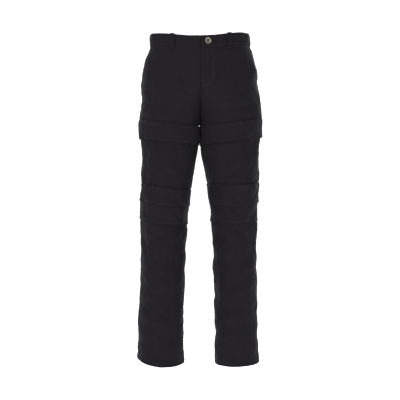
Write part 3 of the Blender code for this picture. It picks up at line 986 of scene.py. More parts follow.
@dataclass(frozen=True)
class AgedMetalFinish:
    """Plated metal of the button, grey-olive, rubbed pale on its rim."""

    name: str
    dark: tuple[float, float, float]
    pale: tuple[float, float, float]

    def make(self) -> bpy.types.Material:
        """Builds the material.

        Returns:
            The material, which reads Object coordinates and the attribute worn.
        """
        shader = Shader(self.name)
        place = shader.node("ShaderNodeTexCoord").outputs["Object"]
        worn = shader.output(shader.node("ShaderNodeAttribute", {"attribute_name": "worn"}), "Fac")
        cloud = shader.noise(place, 420.0, 4.0, 0.6)
        fine = shader.noise(place, 2600.0, 2.0)
        rubbed = worn * 0.75 + cloud * 0.45 - 0.12
        shader.surface(
            Base_Color=shader.mix(rubbed, self.dark, self.pale),
            Metallic=0.92,
            Roughness=0.46 - worn * 0.14 + fine * 0.08,
        )
        shader.bump(cloud * 0.5 + fine * 0.5, 0.00004, 0.5)
        return shader.material


class Wardrobe:
    """The finishes, each made once."""

    def __init__(self) -> None:
        """Makes the materials of all slots and of the thread."""
        finishes = {
            Slot.CLOTH: TwillFinish("black_twill", (0.0075, 0.0066, 0.0086), (0.0130, 0.0115, 0.0148)),
            Slot.BAND: TwillFinish("band_twill", (0.0073, 0.0064, 0.0084), (0.0128, 0.0113, 0.0146)),
            Slot.FLAP: TwillFinish("flap_twill", (0.0078, 0.0069, 0.0089), (0.0134, 0.0119, 0.0152)),
            Slot.FACING: PlainFinish("facing_weave", (0.0062, 0.0055, 0.0071), (0.0105, 0.0094, 0.0120)),
            Slot.BUTTON: AgedMetalFinish("aged_button", (0.085, 0.078, 0.058), (0.46, 0.44, 0.38)),
        }
        self.slots = {slot: finish.make() for slot, finish in finishes.items()}
        self.thread = ThreadFinish("sewing_thread", (0.0105, 0.0093, 0.0120)).make()


def new_piece(name: str, mesh: bpy.types.Mesh, material: bpy.types.Material, slot: Slot) -> bpy.types.Object:
    """Object in the scene that rides on the root body.

    Args:
        name: Piece name.
        mesh: Its mesh, in place.
        material: Its finish.
        slot: Slot of the record; not used.

    Returns:
        The object.
    """
    mesh.materials.append(material)
    piece = bpy.data.objects.new(name, mesh)
    bpy.context.scene.collection.objects.link(piece)
    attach(piece, "root")
    return piece


@dataclass
class Sewing:
    """Rows of stitches on one piece: a thread sunk into the cloth at both ends of each stitch."""

    pitch: float = 0.0031
    length: float = 0.0027
    thread: float = 0.00030
    lift: float = 0.00008
    rows: list[tuple[Line, float, float]] = field(default_factory=list)

    def add(self, line: Line, pitch: float | None = None, length: float | None = None) -> None:
        """Adds a row along a line.

        Args:
            line: Where the row runs.
            pitch: Distance between stitches, or the usual one.
            length: Length of a stitch, or the usual one.
        """
        self.rows.append((line, pitch or self.pitch, length or self.length))

    def frames(self) -> tuple[Array, Array, Array, Array]:
        """Centre, normal, tangent and length of every stitch."""
        centres, normals, tangents, lengths = [], [], [], []
        for line, pitch, length in self.rows:
            steps = np.linalg.norm(np.diff(line.points, axis=0), axis=1)
            travelled = np.concatenate([[0.0], np.cumsum(steps)])
            places = np.arange(pitch / 2, travelled[-1], pitch)
            half = length / 2
            ends = [self.sample(travelled, line.points, places + offset) for offset in (-half, half)]
            centres.append((ends[0] + ends[1]) / 2)
            tangents.append(unit(ends[1] - ends[0]))
            normals.append(unit(self.sample(travelled, line.normals, places)))
            lengths.append(np.full(len(places), length))
        return tuple(np.concatenate(group) for group in (centres, normals, tangents, lengths))

    @staticmethod
    def sample(travelled: Array, values: Array, places: Array) -> Array:
        """Rows of values at distances along a line."""
        return np.stack([np.interp(places, travelled, values[:, axis]) for axis in range(3)], axis=1)

    def build(self, name: str, material: bpy.types.Material, slot: Slot) -> bpy.types.Object:
        """Joins all the stitches into one piece.

        Args:
            name: Piece name.
            material: Thread finish.
            slot: Slot of the record.

        Returns:
            The piece.
        """
        bm = bmesh.new()
        bmesh.ops.create_uvsphere(bm, u_segments=5, v_segments=4, radius=1.0)
        shape = np.array([vert.co[:] for vert in bm.verts])
        faces = [[vert.index for vert in face.verts] for face in bm.faces]
        bm.free()
        centres, normals, tangents, lengths = self.frames()
        sides = np.cross(normals, tangents)
        stitches = (
            centres[:, None]
            + normals[:, None] * self.lift
            + tangents[:, None] * (shape[:, 2:3] * lengths[:, None, None] / 2)
            + sides[:, None] * shape[:, 0:1] * self.thread
            + normals[:, None] * shape[:, 1:2] * self.thread
        )
        starts = np.arange(len(centres)) * len(shape)
        joined = [[start + index for index in face] for start in starts.tolist() for face in faces]
        mesh = bpy.data.meshes.new(name)
        mesh.from_pydata(stitches.reshape(-1, 3), [], joined)
        mesh.shade_smooth()
        LOG.info("%s: %d stitches", name, len(centres))
        return new_piece(name, mesh, material, slot)


@dataclass
class Cloth:
    """One cut piece of cloth on its node: laid out, thickened, mapped and sewn."""

    node: str
    leg: Leg
    thickness: float = CLOTH
    slot: Slot = Slot.CLOTH
    closed: bool = False
    step: float = 0.0036
    size: tuple[float, float] = (0.25, 0.25)
    rests_on: tuple[str, ...] = ()
    grid: Grid | None = None
    sewing: Sewing = field(default_factory=Sewing)
    groove_depth: float = 0.00055
    groove_width: float = 0.0013
    pucker_height: float = 0.00022
    pucker_reach: float = 0.007
    rolled_share: float = 0.30
    rolled_angle: float = 55.0
    tack_pitch: float = 0.0007
    tack_stitch: float = 0.0018

    def surface(self, across: Array, up: Array) -> tuple[Array, Array]:
        """Points and normals of the outer face, which each kind of piece gives."""
        raise NotImplementedError

    def relief(self, inset: Inset) -> Array:
        """Seam groove along all the edges, and puckers beside it.

        Args:
            inset: Distances from the edges.

        Returns:
            Height to add at each place.
        """
        side = np.minimum(inset.left, inset.right)
        level = np.minimum(inset.bottom, inset.top)
        near = np.exp(-side / self.groove_width) + np.exp(-level / self.groove_width)
        pucker = self.pucker_height * ripple(inset.up) * np.exp(-side / self.pucker_reach)
        return -self.groove_depth * near + pucker

    def shares(self) -> tuple[Array, Array]:
        """Shares across and up at which the cloth is laid out."""
        return graded(self.size[0], self.step), graded(self.size[1], self.step)

    def inset(self, grid: Grid) -> Inset:
        """Distances from the four edges."""
        across, up = grid.across, grid.up
        return Inset(across, across[:, -1:] - across, up, up[-1:] - up, across, up)

    def lay_out(self) -> Grid:
        """Lays the cloth out, with its relief."""
        columns, rows = self.shares()
        across, up = np.meshgrid(columns, rows)
        points, normals = self.surface(across.ravel(), up.ravel())
        shape = (len(rows), len(columns), 3)
        flat = Grid(points.reshape(shape), normals.reshape(shape))
        relief = self.relief(self.inset(flat))
        return Grid(flat.points + flat.normals * relief[..., None], flat.normals)

    def mesh(self) -> bpy.types.Mesh:
        """Mesh of the outer face, with its map in metres."""
        rows, columns = self.grid.points.shape[:2]
        bm = bmesh.new()
        bmesh.ops.create_grid(bm, x_segments=columns - 1, y_segments=rows - 1, size=0.5)
        column = [round((vert.co.x + 0.5) * (columns - 1)) for vert in bm.verts]
        row = [round((vert.co.y + 0.5) * (rows - 1)) for vert in bm.verts]
        mesh = bpy.data.meshes.new(self.node + "_cloth")
        bm.to_mesh(mesh)
        bm.free()
        mesh.vertices.foreach_set("co", self.grid.points[row, column].ravel())
        corners = np.empty(len(mesh.loops), dtype=np.int32)
        mesh.loops.foreach_get("vertex_index", corners)
        flat = np.stack([self.grid.across[row, column], self.grid.up[row, column]], axis=1)
        mesh.uv_layers.new(name="cloth").uv.foreach_set("vector", flat[corners].ravel())
        if self.closed:
            bm = bmesh.new()
            bm.from_mesh(mesh)
            bmesh.ops.remove_doubles(bm, verts=bm.verts, dist=MERGE)
            bm.to_mesh(mesh)
            bm.free()
        mesh.shade_smooth()
        return mesh

    def build(self, wardrobe: Wardrobe) -> bpy.types.Object:
        """Makes the piece, cuts any holes, logs the size of its cut and sews it.

        Args:
            wardrobe: The finishes.

        Returns:
            The piece.
        """
        self.grid = self.lay_out()
        piece = new_piece(self.node + "_cloth", self.mesh(), wardrobe.slots[self.slot], self.slot)
        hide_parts(self.node)
        wall = piece.modifiers.new("wall", "SOLIDIFY")
        wall.thickness = self.thickness
        wall.offset = -1.0
        wall.use_quality_normals = True
        rolled = piece.modifiers.new("rolled_edges", "BEVEL")
        rolled.width = self.thickness * self.rolled_share
        rolled.segments = 2
        rolled.limit_method = "ANGLE"
        rolled.angle_limit = math.radians(self.rolled_angle)
        self.cut(piece)
        width, length = float(self.grid.across[:, -1].max()), float(self.grid.up[-1].max())
        area = min(self.grid.area(), width * length)
        list(self.rests_on)
        LOG.info("%s: cut %.0f x %.0f mm, %.4f m2", piece.name, 1000 * width, 1000 * length, area)
        self.sew()
        if self.sewing.rows:
            self.sewing.build(self.node + "_stitches", wardrobe.thread, self.slot)
        return piece

    def cut(self, piece: bpy.types.Object) -> None:
        """Cuts holes, where a kind of piece has any."""

    def sew(self) -> None:
        """Adds rows of stitches, where a kind of piece has any."""

    def trace(self, border: Border, along: Array, inset: Array | float) -> Line:
        """Line on the cloth beside one of its edges.

        Args:
            border: The edge.
            along: Distances along it, from its left or its top end.
            inset: Distance in from it at each of these.

        Returns:
            The line on the outer face.
        """
        gaps = self.inset(self.grid)
        upright = border in (Border.LEFT, Border.RIGHT)
        inward = getattr(gaps, border.value)
        depth = inward if upright else inward.T
        travel = gaps.top[::-1].T if upright else gaps.left
        end = travel[-1 if border in (Border.RIGHT, Border.TOP) else 0]
        lines = np.interp(along, end, np.arange(len(end)))
        if upright:
            lines = len(end) - 1 - lines
        order = slice(None, None, -1) if border in (Border.RIGHT, Border.TOP) else slice(None)
        places = np.arange(depth.shape[1])[order]
        found = np.empty(len(along))
        for index, (line, gap) in enumerate(zip(lines, np.broadcast_to(inset, len(along)))):
            low = min(int(line), depth.shape[0] - 2)
            reached = depth[low] + (depth[low + 1] - depth[low]) * (line - low)
            found[index] = np.interp(gap, reached[order], places)
        row, column = (lines, found) if upright else (found, lines)
        points, normals = (self.sample(values, row, column) for values in self.grid)
        return Line(points, unit(normals))

    @staticmethod
    def sample(values: Array, row: Array, column: Array) -> Array:
        """Values between the grid's rows and columns.

        Args:
            values: Rows, columns and three numbers.
            row: Row of each place, with its fraction.
            column: Column of each place, with its fraction.

        Returns:
            Three numbers for each place.
        """
        low_row = np.clip(row.astype(int), 0, values.shape[0] - 2)
        low_column = np.clip(column.astype(int), 0, values.shape[1] - 2)
        up, over = (row - low_row)[:, None], (column - low_column)[:, None]
        below = values[low_row, low_column] * (1 - over) + values[low_row, low_column + 1] * over
        above = values[low_row + 1, low_column] * (1 - over) + values[low_row + 1, low_column + 1] * over
        return below * (1 - up) + above * up

    def row_beside(self, border: Border, inset: float, start: float = 0.0, stop: float = 1.0) -> None:
        """Sews a row at an even distance from an edge.

        Args:
            border: The edge.
            inset: Distance in from it.
            start: Share of the edge at which the row starts.
            stop: Share at which it ends.
        """
        upright = border in (Border.LEFT, Border.RIGHT)
        lengths = self.grid.up[-1] if upright else self.grid.across[:, -1]
        length = lengths[-1 if border in (Border.RIGHT, Border.TOP) else 0]
        along = np.linspace(start * length, stop * length, max(int(length / 0.003), 3))
        self.sewing.add(self.trace(border, along, inset))

    def bartack(self, border: Border, along: float, inset: float, width: float) -> None:
        """Sews a short, close row across the cloth.

        Args:
            border: The edge that it starts from.
            along: Distance along the edge.
            inset: Distance in from it at which the tack starts.
            width: Length of the tack.
        """
        depth = np.linspace(inset, inset + width, 8)
        line = self.trace(border, np.full(len(depth), along), depth)
        self.sewing.add(line, self.tack_pitch, self.tack_stitch)


def mouth(drop: Array) -> Array:
    """How far open a pocket mouth is at a drop, from 0 to 1."""
    opening = ease(POCKET_TOP, POCKET_TOP + MOUTH_FADE, drop)
    return opening * (1 - ease(POCKET_END - MOUTH_FADE, POCKET_END, drop))


def hip_angle(leg: Leg, drop: Array, share: Array, edge: Array | float = 0.0) -> Array:
    """Angle of a share of the way from the side seam to the centre seam.

    Args:
        leg: The leg.
        drop: Drops.
        share: Shares from 0 to 1.
        edge: Distance of the piece's edge from the side seam.

    Returns:
        The angle at each place.
    """
    first = edge / FIGURE.read("front", drop)
    crowding = 1 + ease(CROWD_START, CROWD_END, drop)
    return first + (math.pi - first) * share - (math.pi - FIGURE.last_angle(leg, drop)) * share**crowding


@dataclass
class HipPanel(Cloth):
    """Front or back from the waist seam to the thigh seam, with the fork, the fly and the pocket mouth."""

    face: Face = Face.FRONT
    fork_rows: int = 22
    hip_rows: int = 66
    fork_height: float = 0.06
    hip_height: float = 0.28
    closest: float = 0.002
    mouth_row: float = 0.0055
    mouth_tack: float = 0.007
    tack_from_edge: float = 0.0004
    tack_below: float = 0.002
    fly_row: float = 0.0022
    fly_below: float = 0.012
    fly_width: float = 0.040
    fly_corner: float = 0.045
    fly_power: float = 0.8
    fly_rows_apart: float = 0.006
    fly_tack: float = 0.008

    def shares(self) -> tuple[Array, Array]:
        """Shares that follow the fork, closer at the seams."""
        below = graded(self.fork_height, self.fork_height / self.fork_rows)
        above = np.linspace(0.0, 1.0, self.hip_rows + 1)
        last = 1 - np.array(NEAR_EDGE[-2::-1]) / self.hip_height
        above = np.concatenate([above[:-1], last[last > above[-2] + self.closest], [1.0]])
        up = np.concatenate([below[:-len(NEAR_EDGE)] * FORK_SHARE, FORK_SHARE + (1 - FORK_SHARE) * above])
        return graded(self.size[0], self.step), np.unique(up)

    def surface(self, across: Array, up: Array) -> tuple[Array, Array]:
        """Lays the panel out.

        Args:
            across: Shares from the left edge.
            up: Shares from the bottom edge.

        Returns:
            Points and normals.
        """
        front = self.face is Face.FRONT
        share = across if front == (self.leg is Leg.RIGHT) else 1 - across
        above = up > FORK_SHARE
        rise = np.clip((up - FORK_SHARE) / (1 - FORK_SHARE), 0.0, 1.0) ** FORK_CROWDING
        drop = CROTCH - (CROTCH - BAND + TUCK) * rise
        opening = mouth(drop) if front else np.zeros_like(drop)
        angle = self.face.half * hip_angle(self.leg, drop, share, MOUTH_OPEN * opening - MEET)
        seam = edge_drop(THIGH_SEAM[self.leg], angle) + MEET
        drop = np.where(above, drop, seam + (CROTCH - seam) * up / FORK_SHARE)
        out = np.zeros_like(drop)
        if front:
            aside = angle * FIGURE.read("front", drop)
            near = np.exp(-FIGURE.reach(self.leg, angle, drop) / LAP_WIDTH)
            lap = LAP_UP if self.leg is Leg.LEFT else -LAP_DOWN
            out = MOUTH_GAPE * opening * np.exp(-aside / MOUTH_REACH) + near * lap
        return FIGURE.lay(self.leg, angle, drop, out)

    def centre(self) -> Border:
        """The edge at the centre seam."""
        return Border.RIGHT if (self.face is Face.FRONT) == (self.leg is Leg.RIGHT) else Border.LEFT

    def outer(self) -> Border:
        """The edge at the side seam."""
        return Border.LEFT if self.centre() is Border.RIGHT else Border.RIGHT

    def sew(self) -> None:
        """Sews the pocket mouth and, on the left front, the fly."""
        if self.face is Face.FRONT:
            along = np.linspace(POCKET_TOP - BAND, POCKET_END - BAND, 60)
            self.sewing.add(self.trace(self.outer(), along, self.mouth_row))
            for end in (POCKET_TOP, POCKET_END):
                self.bartack(self.outer(), end - BAND + self.tack_below, self.tack_from_edge, self.mouth_tack)
            if self.leg is Leg.LEFT:
                self.sew_fly()

    def sew_fly(self) -> None:
        """Sews the edge of the fly and its curved row."""
        depth, first, least = FLY_END - BAND, 0.001, 0.002
        width, corner = self.fly_width, self.fly_corner
        along = np.linspace(first, depth + self.fly_below, 60)
        self.sewing.add(self.trace(self.centre(), along, self.fly_row))
        straight = np.linspace(first, depth - corner, 40)
        turn = np.linspace(0.0, math.pi / 2, 24)[1:]
        down = np.concatenate([straight, depth - corner + corner * np.sin(turn)])
        inset = np.concatenate([np.full(len(straight), width), width * np.cos(turn) ** self.fly_power])
        for offset in (0.0, self.fly_rows_apart):
            self.sewing.add(self.trace(self.centre(), down, np.maximum(inset - offset, least)))
        self.bartack(self.centre(), depth - 0.004, 0.003, self.fly_tack)
        self.bartack(self.centre(), depth - corner, width - self.fly_tack, self.fly_tack)


@dataclass
class LegPanel(Cloth):
    """Front or back between two edges, from the side seam to the inseam."""

    face: Face = Face.FRONT
    top: Edge = THIGH_SEAM[Leg.RIGHT]
    bottom: Edge = KNEE_SEAM[Leg.RIGHT]
    hem: bool = False
    hem_height: float = 0.013
    hem_step: float = 0.0006
    drawn_depth: float = 0.0004
    drawn_width: float = 0.0016
    uneven_height: float = 0.00035
    uneven_pitch: float = 0.0125
    uneven_reach: float = 0.009

    def surface(self, across: Array, up: Array) -> tuple[Array, Array]:
        """Lays the panel out.

        Args:
            across: Shares from the left edge.
            up: Shares from the bottom edge.

        Returns:
            Points and normals.
        """
        share = across if (self.face is Face.FRONT) == (self.leg is Leg.RIGHT) else 1 - across
        drop = self.bottom.front + (self.top.front - self.bottom.front) * up
        first = -MEET / FIGURE.read(self.face.value, drop)
        angle = self.face.half * (first + (math.pi - 2 * first) * share)
        low = edge_drop(self.bottom, angle) + (0.0 if self.hem else MEET)
        high = edge_drop(self.top, angle) - MEET
        return FIGURE.lay(self.leg, angle, low + (high - low) * up)

    def relief(self, inset: Inset) -> Array:
        """Seam relief, and at the hem the turned-up cloth, thicker below its row of stitches.

        Args:
            inset: Distances from the edges.

        Returns:
            Height to add at each place.
        """
        height = super().relief(inset)
        if self.hem:
            turned = 1 - ease(self.hem_height - 0.002, self.hem_height + 0.001, inset.bottom)
            drawn = bump_at(inset.bottom, self.hem_height, self.drawn_width)
            beside = bump_at(inset.bottom, self.hem_height, self.uneven_reach)
            uneven = ripple(inset.along, self.uneven_pitch) * beside
            height += self.hem_step * turned - self.drawn_depth * drawn + self.uneven_height * uneven
        return height

    def sew(self) -> None:
        """Sews the hem."""
        if self.hem:
            self.row_beside(Border.BOTTOM, self.hem_height, 0.006, 0.994)


class Wave(NamedTuple):
    """Wave round a flap: how many, their share of the flare, and where they start."""

    count: int
    share: float
    speed: float
    shift: float


FLAP_SWAY = (Wave(3, 0.42, 1.0, 0.0), Wave(7, 0.26, 2.1, 0.7))
FLAP_STEP = 0.0034


@dataclass
class Flap(Cloth):
    """Double flap all round a leg: sewn on at its top, hanging free at its lower edge."""

    top: Edge = THIGH_SEAM[Leg.RIGHT]
    bottom: Edge = THIGH_FLAP_END[Leg.RIGHT]
    flare: float = 0.003
    top_rows: tuple[float, ...] = (0.0022, 0.0085)
    edge_row: float = 0.006
    phase: float = 0.0
    flare_power: float = 1.5
    clear_start: float = 0.004
    clear_end: float = 0.030
    drawn_depth: float = 0.00032
    drawn_width: float = 0.0013
    edge_depth: float = 0.00045
    edge_width: float = 0.0010
    uneven_height: float = 0.00030

    def surface(self, across: Array, up: Array) -> tuple[Array, Array]:
        """Lays the flap out.

        Args:
            across: Shares round the leg from its inseam.
            up: Shares from the free edge.

        Returns:
            Points and normals.
        """
        angle = -self.leg.side * math.tau * (across - 0.5)
        low, high = edge_drop(self.bottom, angle), edge_drop(self.top, angle)
        drop = low + (high - low) * up
        room = ease(self.clear_start, self.clear_end, FIGURE.reach(self.leg, angle, drop))
        sway = 1 + sum(
            wave.share * np.sin(wave.count * angle + wave.speed * self.phase + wave.shift)
            for wave in FLAP_SWAY)
        out = FLAP_LAY + FLAP_CLOTH + self.flare * sway * (1 - up) ** self.flare_power * room
        return FIGURE.lay(self.leg, angle, drop, out)

    def relief(self, inset: Inset) -> Array:
        """Sewn rows drawn in, the cloth between them full, and both long edges rolled.

        Args:
            inset: Distances from the edges.

        Returns:
            Height to add at each place.
        """
        rows = sum(bump_at(inset.top, place, self.drawn_width) for place in self.top_rows)
        rows += bump_at(inset.bottom, self.edge_row, self.drawn_width)
        rolled = np.exp(-inset.top / self.edge_width)
        near = np.exp(-inset.top / 0.010) + 0.8 * np.exp(-inset.bottom / 0.012)
        uneven = self.uneven_height * ripple(inset.along) * near
        return uneven - self.drawn_depth * rows - self.edge_depth * rolled

    def sew(self) -> None:
        """Sews the rows at the top and the one above the free edge."""
        for place in self.top_rows:
            self.row_beside(Border.TOP, place)
        self.row_beside(Border.BOTTOM, self.edge_row)


@dataclass
class Waistband(Cloth):
    """Half of the waistband, from the centre back to the centre front, the right one with the underlap."""

    under_share: float = 1 / 8
    edge_row: float = 0.0026
    rolled_depth: float = 0.00040
    rolled_edge: float = 0.0010
    rolled_end: float = 0.0012
    drawn_depth: float = 0.00022
    drawn_width: float = 0.0012
    uneven_height: float = 0.00020
    uneven_pitch: float = 0.0115
    uneven_reach: float = 0.008

    def surface(self, across: Array, up: Array) -> tuple[Array, Array]:
        """Lays the band out.

        Args:
            across: Shares from the left edge.
            up: Shares from the bottom edge.

        Returns:
            Points and normals.
        """
        drop = BAND * (1 - up)
        share = across if self.leg is Leg.RIGHT else 1 - across
        main = 1 - (self.under_share if self.leg is Leg.RIGHT else 0.0)
        angle = FIGURE.last_angle(self.leg, drop) * (2 * np.minimum(share / main, 1.0) - 1)
        out = np.full_like(drop, BAND_OUT)
        if self.leg is Leg.LEFT:
            return FIGURE.lay(self.leg, angle, drop, out)
        near = 1 - ease(0.0, LAP_WIDTH, FIGURE.reach(self.leg, angle, drop))
        out -= np.where(angle > 0, near * (BAND_CLOTH + BAND_LAY + BAND_OUT), 0.0)
        points, normals = FIGURE.lay(self.leg, angle, drop, out)
        over = share > main
        aside = UNDERLAP * (share[over] - main) / self.under_share
        beyond = FIGURE.near_front(aside, drop[over], Leg.LEFT)
        points[over], normals[over] = FIGURE.lay(Leg.LEFT, beyond, drop[over], -BAND_CLOTH - BAND_LAY)
        return points, normals

    def relief(self, inset: Inset) -> Array:
        """Rolled top edge, edge rows drawn in and puckers between them.

        Args:
            inset: Distances from the edges.

        Returns:
            Height to add at each place.
        """
        level = np.minimum(inset.bottom, inset.top)
        side = np.minimum(inset.left, inset.right)
        rolled = np.exp(-level / self.rolled_edge) + np.exp(-side / self.rolled_end)
        rows = bump_at(level, self.edge_row, self.drawn_width)
        uneven = ripple(inset.along, self.uneven_pitch) * np.exp(-level / self.uneven_reach)
        return self.uneven_height * uneven - self.rolled_depth * rolled - self.drawn_depth * rows

    def cut(self, piece: bpy.types.Object) -> None:
        """Cuts the buttonhole through the left end of the band."""
        if self.leg is Leg.LEFT:
            BUTTONHOLE.cut(piece)

    def sew(self) -> None:
        """Sews both long edges and the ends."""
        for border in (Border.TOP, Border.BOTTOM):
            self.row_beside(border, self.edge_row, 0.004, 0.996)
        for border in (Border.LEFT, Border.RIGHT):
            self.row_beside(border, self.edge_row, 0.08, 0.92)
        if self.leg is Leg.LEFT:
            self.sewing.add(BUTTONHOLE.overcast(), 0.00075, 0.0006)


@dataclass
class FlyShield(Cloth):
    """Strip behind the lapped edges of the fly."""

    past_centre: float = 0.022
    width: float = 0.052

    def surface(self, across: Array, up: Array) -> tuple[Array, Array]:
        """Lays the shield out.

        Args:
            across: Shares from the left edge.
            up: Shares from the bottom edge.

        Returns:
            Points and normals.
        """
        drop = FLY_END - (FLY_END - BAND - BEHIND_BAND) * up
        aside = self.width * across - self.past_centre
        out = -(CLOTH + LAP_DOWN + 2 * LAY)
        points = np.empty((len(across), 3))
        normals = np.empty((len(across), 3))
        for leg, there in ((Leg.LEFT, aside > 0), (Leg.RIGHT, aside <= 0)):
            angle = FIGURE.near_front(aside[there], drop[there], leg)
            points[there], normals[there] = FIGURE.lay(leg, angle, drop[there], out)
        return points, normals


@dataclass
class PocketFacing(Cloth):
    """Strip that shows in the pocket mouth."""

    first_share: float = 1 / 14

    def surface(self, across: Array, up: Array) -> tuple[Array, Array]:
        """Lays the facing out.

        Args:
            across: Shares from the left edge.
            up: Shares from the bottom edge.

        Returns:
            Points and normals.
        """
        end = POCKET_END + FACING_BELOW
        drop = end - (end - BAND - BEHIND_BAND) * up
        turn = (across if self.leg is Leg.RIGHT else 1 - across) * 2 - 1
        angle = turn * hip_angle(self.leg, drop, np.full_like(drop, self.first_share))
        return FIGURE.lay(self.leg, angle, drop, -CLOTH - 2 * LAY)

    def relief(self, inset: Inset) -> Array:
        """No relief: the strip lies flat."""
        return np.zeros_like(inset.up)


@dataclass
class BeltLoop(Cloth):
    """Strip sewn below the waist seam, standing off the band and turned over its top edge."""

    angle: float = 0.0
    width: float = 0.013
    tail: float = 0.012
    stand: float = 0.0028
    seat: float = 0.0012
    turn: float = 0.010

    def route(self) -> Array:
        """Drop and distance out at points along the loop, from its lower end."""
        inside = -(BAND_CLOTH + LAY)
        over = -(LOOP_CLOTH + LAY)
        near, far = LOOP_CLOTH + self.seat, LOOP_CLOTH + self.stand
        return np.array([
            (BAND + self.tail, near),
            (BAND + self.tail * 0.35, near),
            (BAND * 0.85, far),
            (BAND * 0.5, far + 0.0003),
            (BAND * 0.15, far),
            (over, LOOP_CLOTH + 0.0012),
            (over, inside - LOOP_CLOTH),
            (self.turn, inside - LOOP_CLOTH),
        ])

    def surface(self, across: Array, up: Array) -> tuple[Array, Array]:
        """Lays the loop out along its route, its corners rounded.

        Args:
            across: Shares from the left edge.
            up: Shares from the lower end.

        Returns:
            Points and normals.
        """
        route = self.route()
        steps = np.concatenate([[0.0], np.cumsum(np.linalg.norm(np.diff(route, axis=0), axis=1))])
        place = up * steps[-1]
        spread = np.linspace(-0.0011, 0.0011, 7)
        soft = np.minimum(1.0, np.minimum(place, steps[-1] - place) / spread[-1])[:, None] * spread
        drop = np.interp(place[:, None] + soft, steps, route[:, 0]).mean(axis=1)
        out = np.interp(place[:, None] + soft, steps, route[:, 1]).mean(axis=1)
        centre = math.radians(self.angle)
        flat = np.maximum(drop, 0.0)
        _, half = FIGURE.oval(self.leg, flat)
        speed = np.hypot(half * math.sin(centre), FIGURE.read("front", flat) * math.cos(centre))
        share = across if self.leg is Leg.RIGHT else 1 - across
        return FIGURE.lay(self.leg, centre + (share - 0.5) * self.width / speed, drop, out)

    def shares(self) -> tuple[Array, Array]:
        """Shares close enough for the turn over the top edge."""
        return graded(self.width, 0.0015, (0.0005, 0.0012, 0.0022)), np.linspace(0.0, 1.0, 64)

    def relief(self, inset: Inset) -> Array:
        """Long edges rolled under."""
        side = np.minimum(inset.left, inset.right)
        return -0.00035 * np.exp(-side / 0.0009)

    def sew(self) -> None:
        """Sews both long edges and tacks the lower end."""
        for border in (Border.LEFT, Border.RIGHT):
            self.row_beside(border, 0.0022, 0.02, 0.9)
        long_way = self.grid.up[-1, 0]
        for place in (long_way - 0.0025, 0.0025 + self.turn + 0.006):
            self.bartack(Border.LEFT, place, 0.001, self.width - 0.002)


@dataclass(frozen=True)
class Stand:
    """Place on the band: a foot, the axis out of the band and the direction along it."""

    foot: Vector
    axis: Vector
    along: Vector

    @property
    def matrix(self) -> Matrix:
        """Matrix that puts Z on the axis and X along the band."""
        across = self.axis.cross(self.along).normalized()
        turned = Matrix((across.cross(self.axis), across, self.axis)).transposed().to_4x4()
        turned.translation = self.foot
        return turned


def button_stand(from_edge: float = 0.0215) -> Stand:
    """Stand of the button, half way up the band.

    Args:
        from_edge: Distance from the centre front.

    Returns:
        The stand.
    """
    drop = np.array([BAND / 2])
    angle = FIGURE.near_front(np.array([from_edge]), drop, Leg.LEFT)
    points, normals = FIGURE.lay(Leg.LEFT, angle, drop, np.array([BAND_OUT]))
    towards = FIGURE.skin(Leg.LEFT, angle - 0.01, drop) - FIGURE.skin(Leg.LEFT, angle, drop)
    return Stand(Vector(points[0]), Vector(normals[0]), Vector(unit(towards)[0]))


@dataclass(frozen=True)
class Buttonhole:
    """Slot with rounded ends from the shank away from the band's free end, overcast with thread."""

    stand: Stand
    length: float = 0.019
    width: float = 0.0042
    overcast_width: float = 0.0016

    def cut(self, piece: bpy.types.Object) -> None:
        """Cuts the slot out of a piece and keeps its other modifiers applied.

        Args:
            piece: The left half of the band.
        """
        bm = bmesh.new()
        bmesh.ops.create_cube(bm, size=1.0)
        bmesh.ops.scale(bm, vec=(self.length, self.width, 4 * BAND_CLOTH), verts=bm.verts)
        bmesh.ops.translate(bm, vec=((self.length - self.width) / 2, 0.0, 0.0), verts=bm.verts)
        upright = [edge for edge in bm.edges if abs(edge.verts[0].co.z - edge.verts[1].co.z) > BAND_CLOTH]
        bmesh.ops.bevel(
            bm, geom=upright, offset=self.width * 0.45, offset_type="OFFSET", segments=4, profile=0.5,
            affect="EDGES", material=-1)
        bm.transform(self.stand.matrix)
        mesh = bpy.data.meshes.new("slot")
        bm.to_mesh(mesh)
        bm.free()
        cutter = bpy.data.objects.new("slot", mesh)
        bpy.context.scene.collection.objects.link(cutter)
        slot = piece.modifiers.new("slot", "BOOLEAN")
        slot.operation = "DIFFERENCE"
        slot.solver = "EXACT"
        slot.object = cutter
        seen = piece.evaluated_get(bpy.context.evaluated_depsgraph_get())
        piece.modifiers.clear()
        old = piece.data
        piece.data = bpy.data.meshes.new_from_object(seen)
        piece.data.name = old.name
        bpy.data.meshes.remove(old)
        bpy.data.objects.remove(cutter)
        bpy.data.meshes.remove(mesh)

    def overcast(self) -> Line:
        """Closed line round the slot, on the outer face of the band."""
        half = self.width / 2 + self.overcast_width * 0.35
        run = self.length - self.width
        turn = np.linspace(-math.pi / 2, math.pi / 2, 14)
        right = np.stack([run + half * np.cos(turn), half * np.sin(turn)], axis=1)
        left = np.stack([-half * np.cos(turn), -half * np.sin(turn)], axis=1)
        ring = np.concatenate([right, left, right[:1]])
        matrix = self.stand.matrix
        points = np.array([matrix @ Vector((x, y, 0.0)) for x, y in ring])
        return Line(points, np.repeat(np.array([self.stand.axis[:]]), len(points), axis=0))


BUTTONHOLE = Buttonhole(button_stand())


class Ring(NamedTuple):
    """Ring on the button's face: its share of the radius and its depth below the rim."""

    share: float
    depth: float


BUTTON_FACE = (
    Ring(0.00, 0.00075), Ring(0.12, 0.00080), Ring(0.20, 0.00100), Ring(0.24, 0.00145), Ring(0.34, 0.00150),
    Ring(0.50, 0.00135), Ring(0.66, 0.00105), Ring(0.74, 0.00060), Ring(0.79, 0.00018),
)


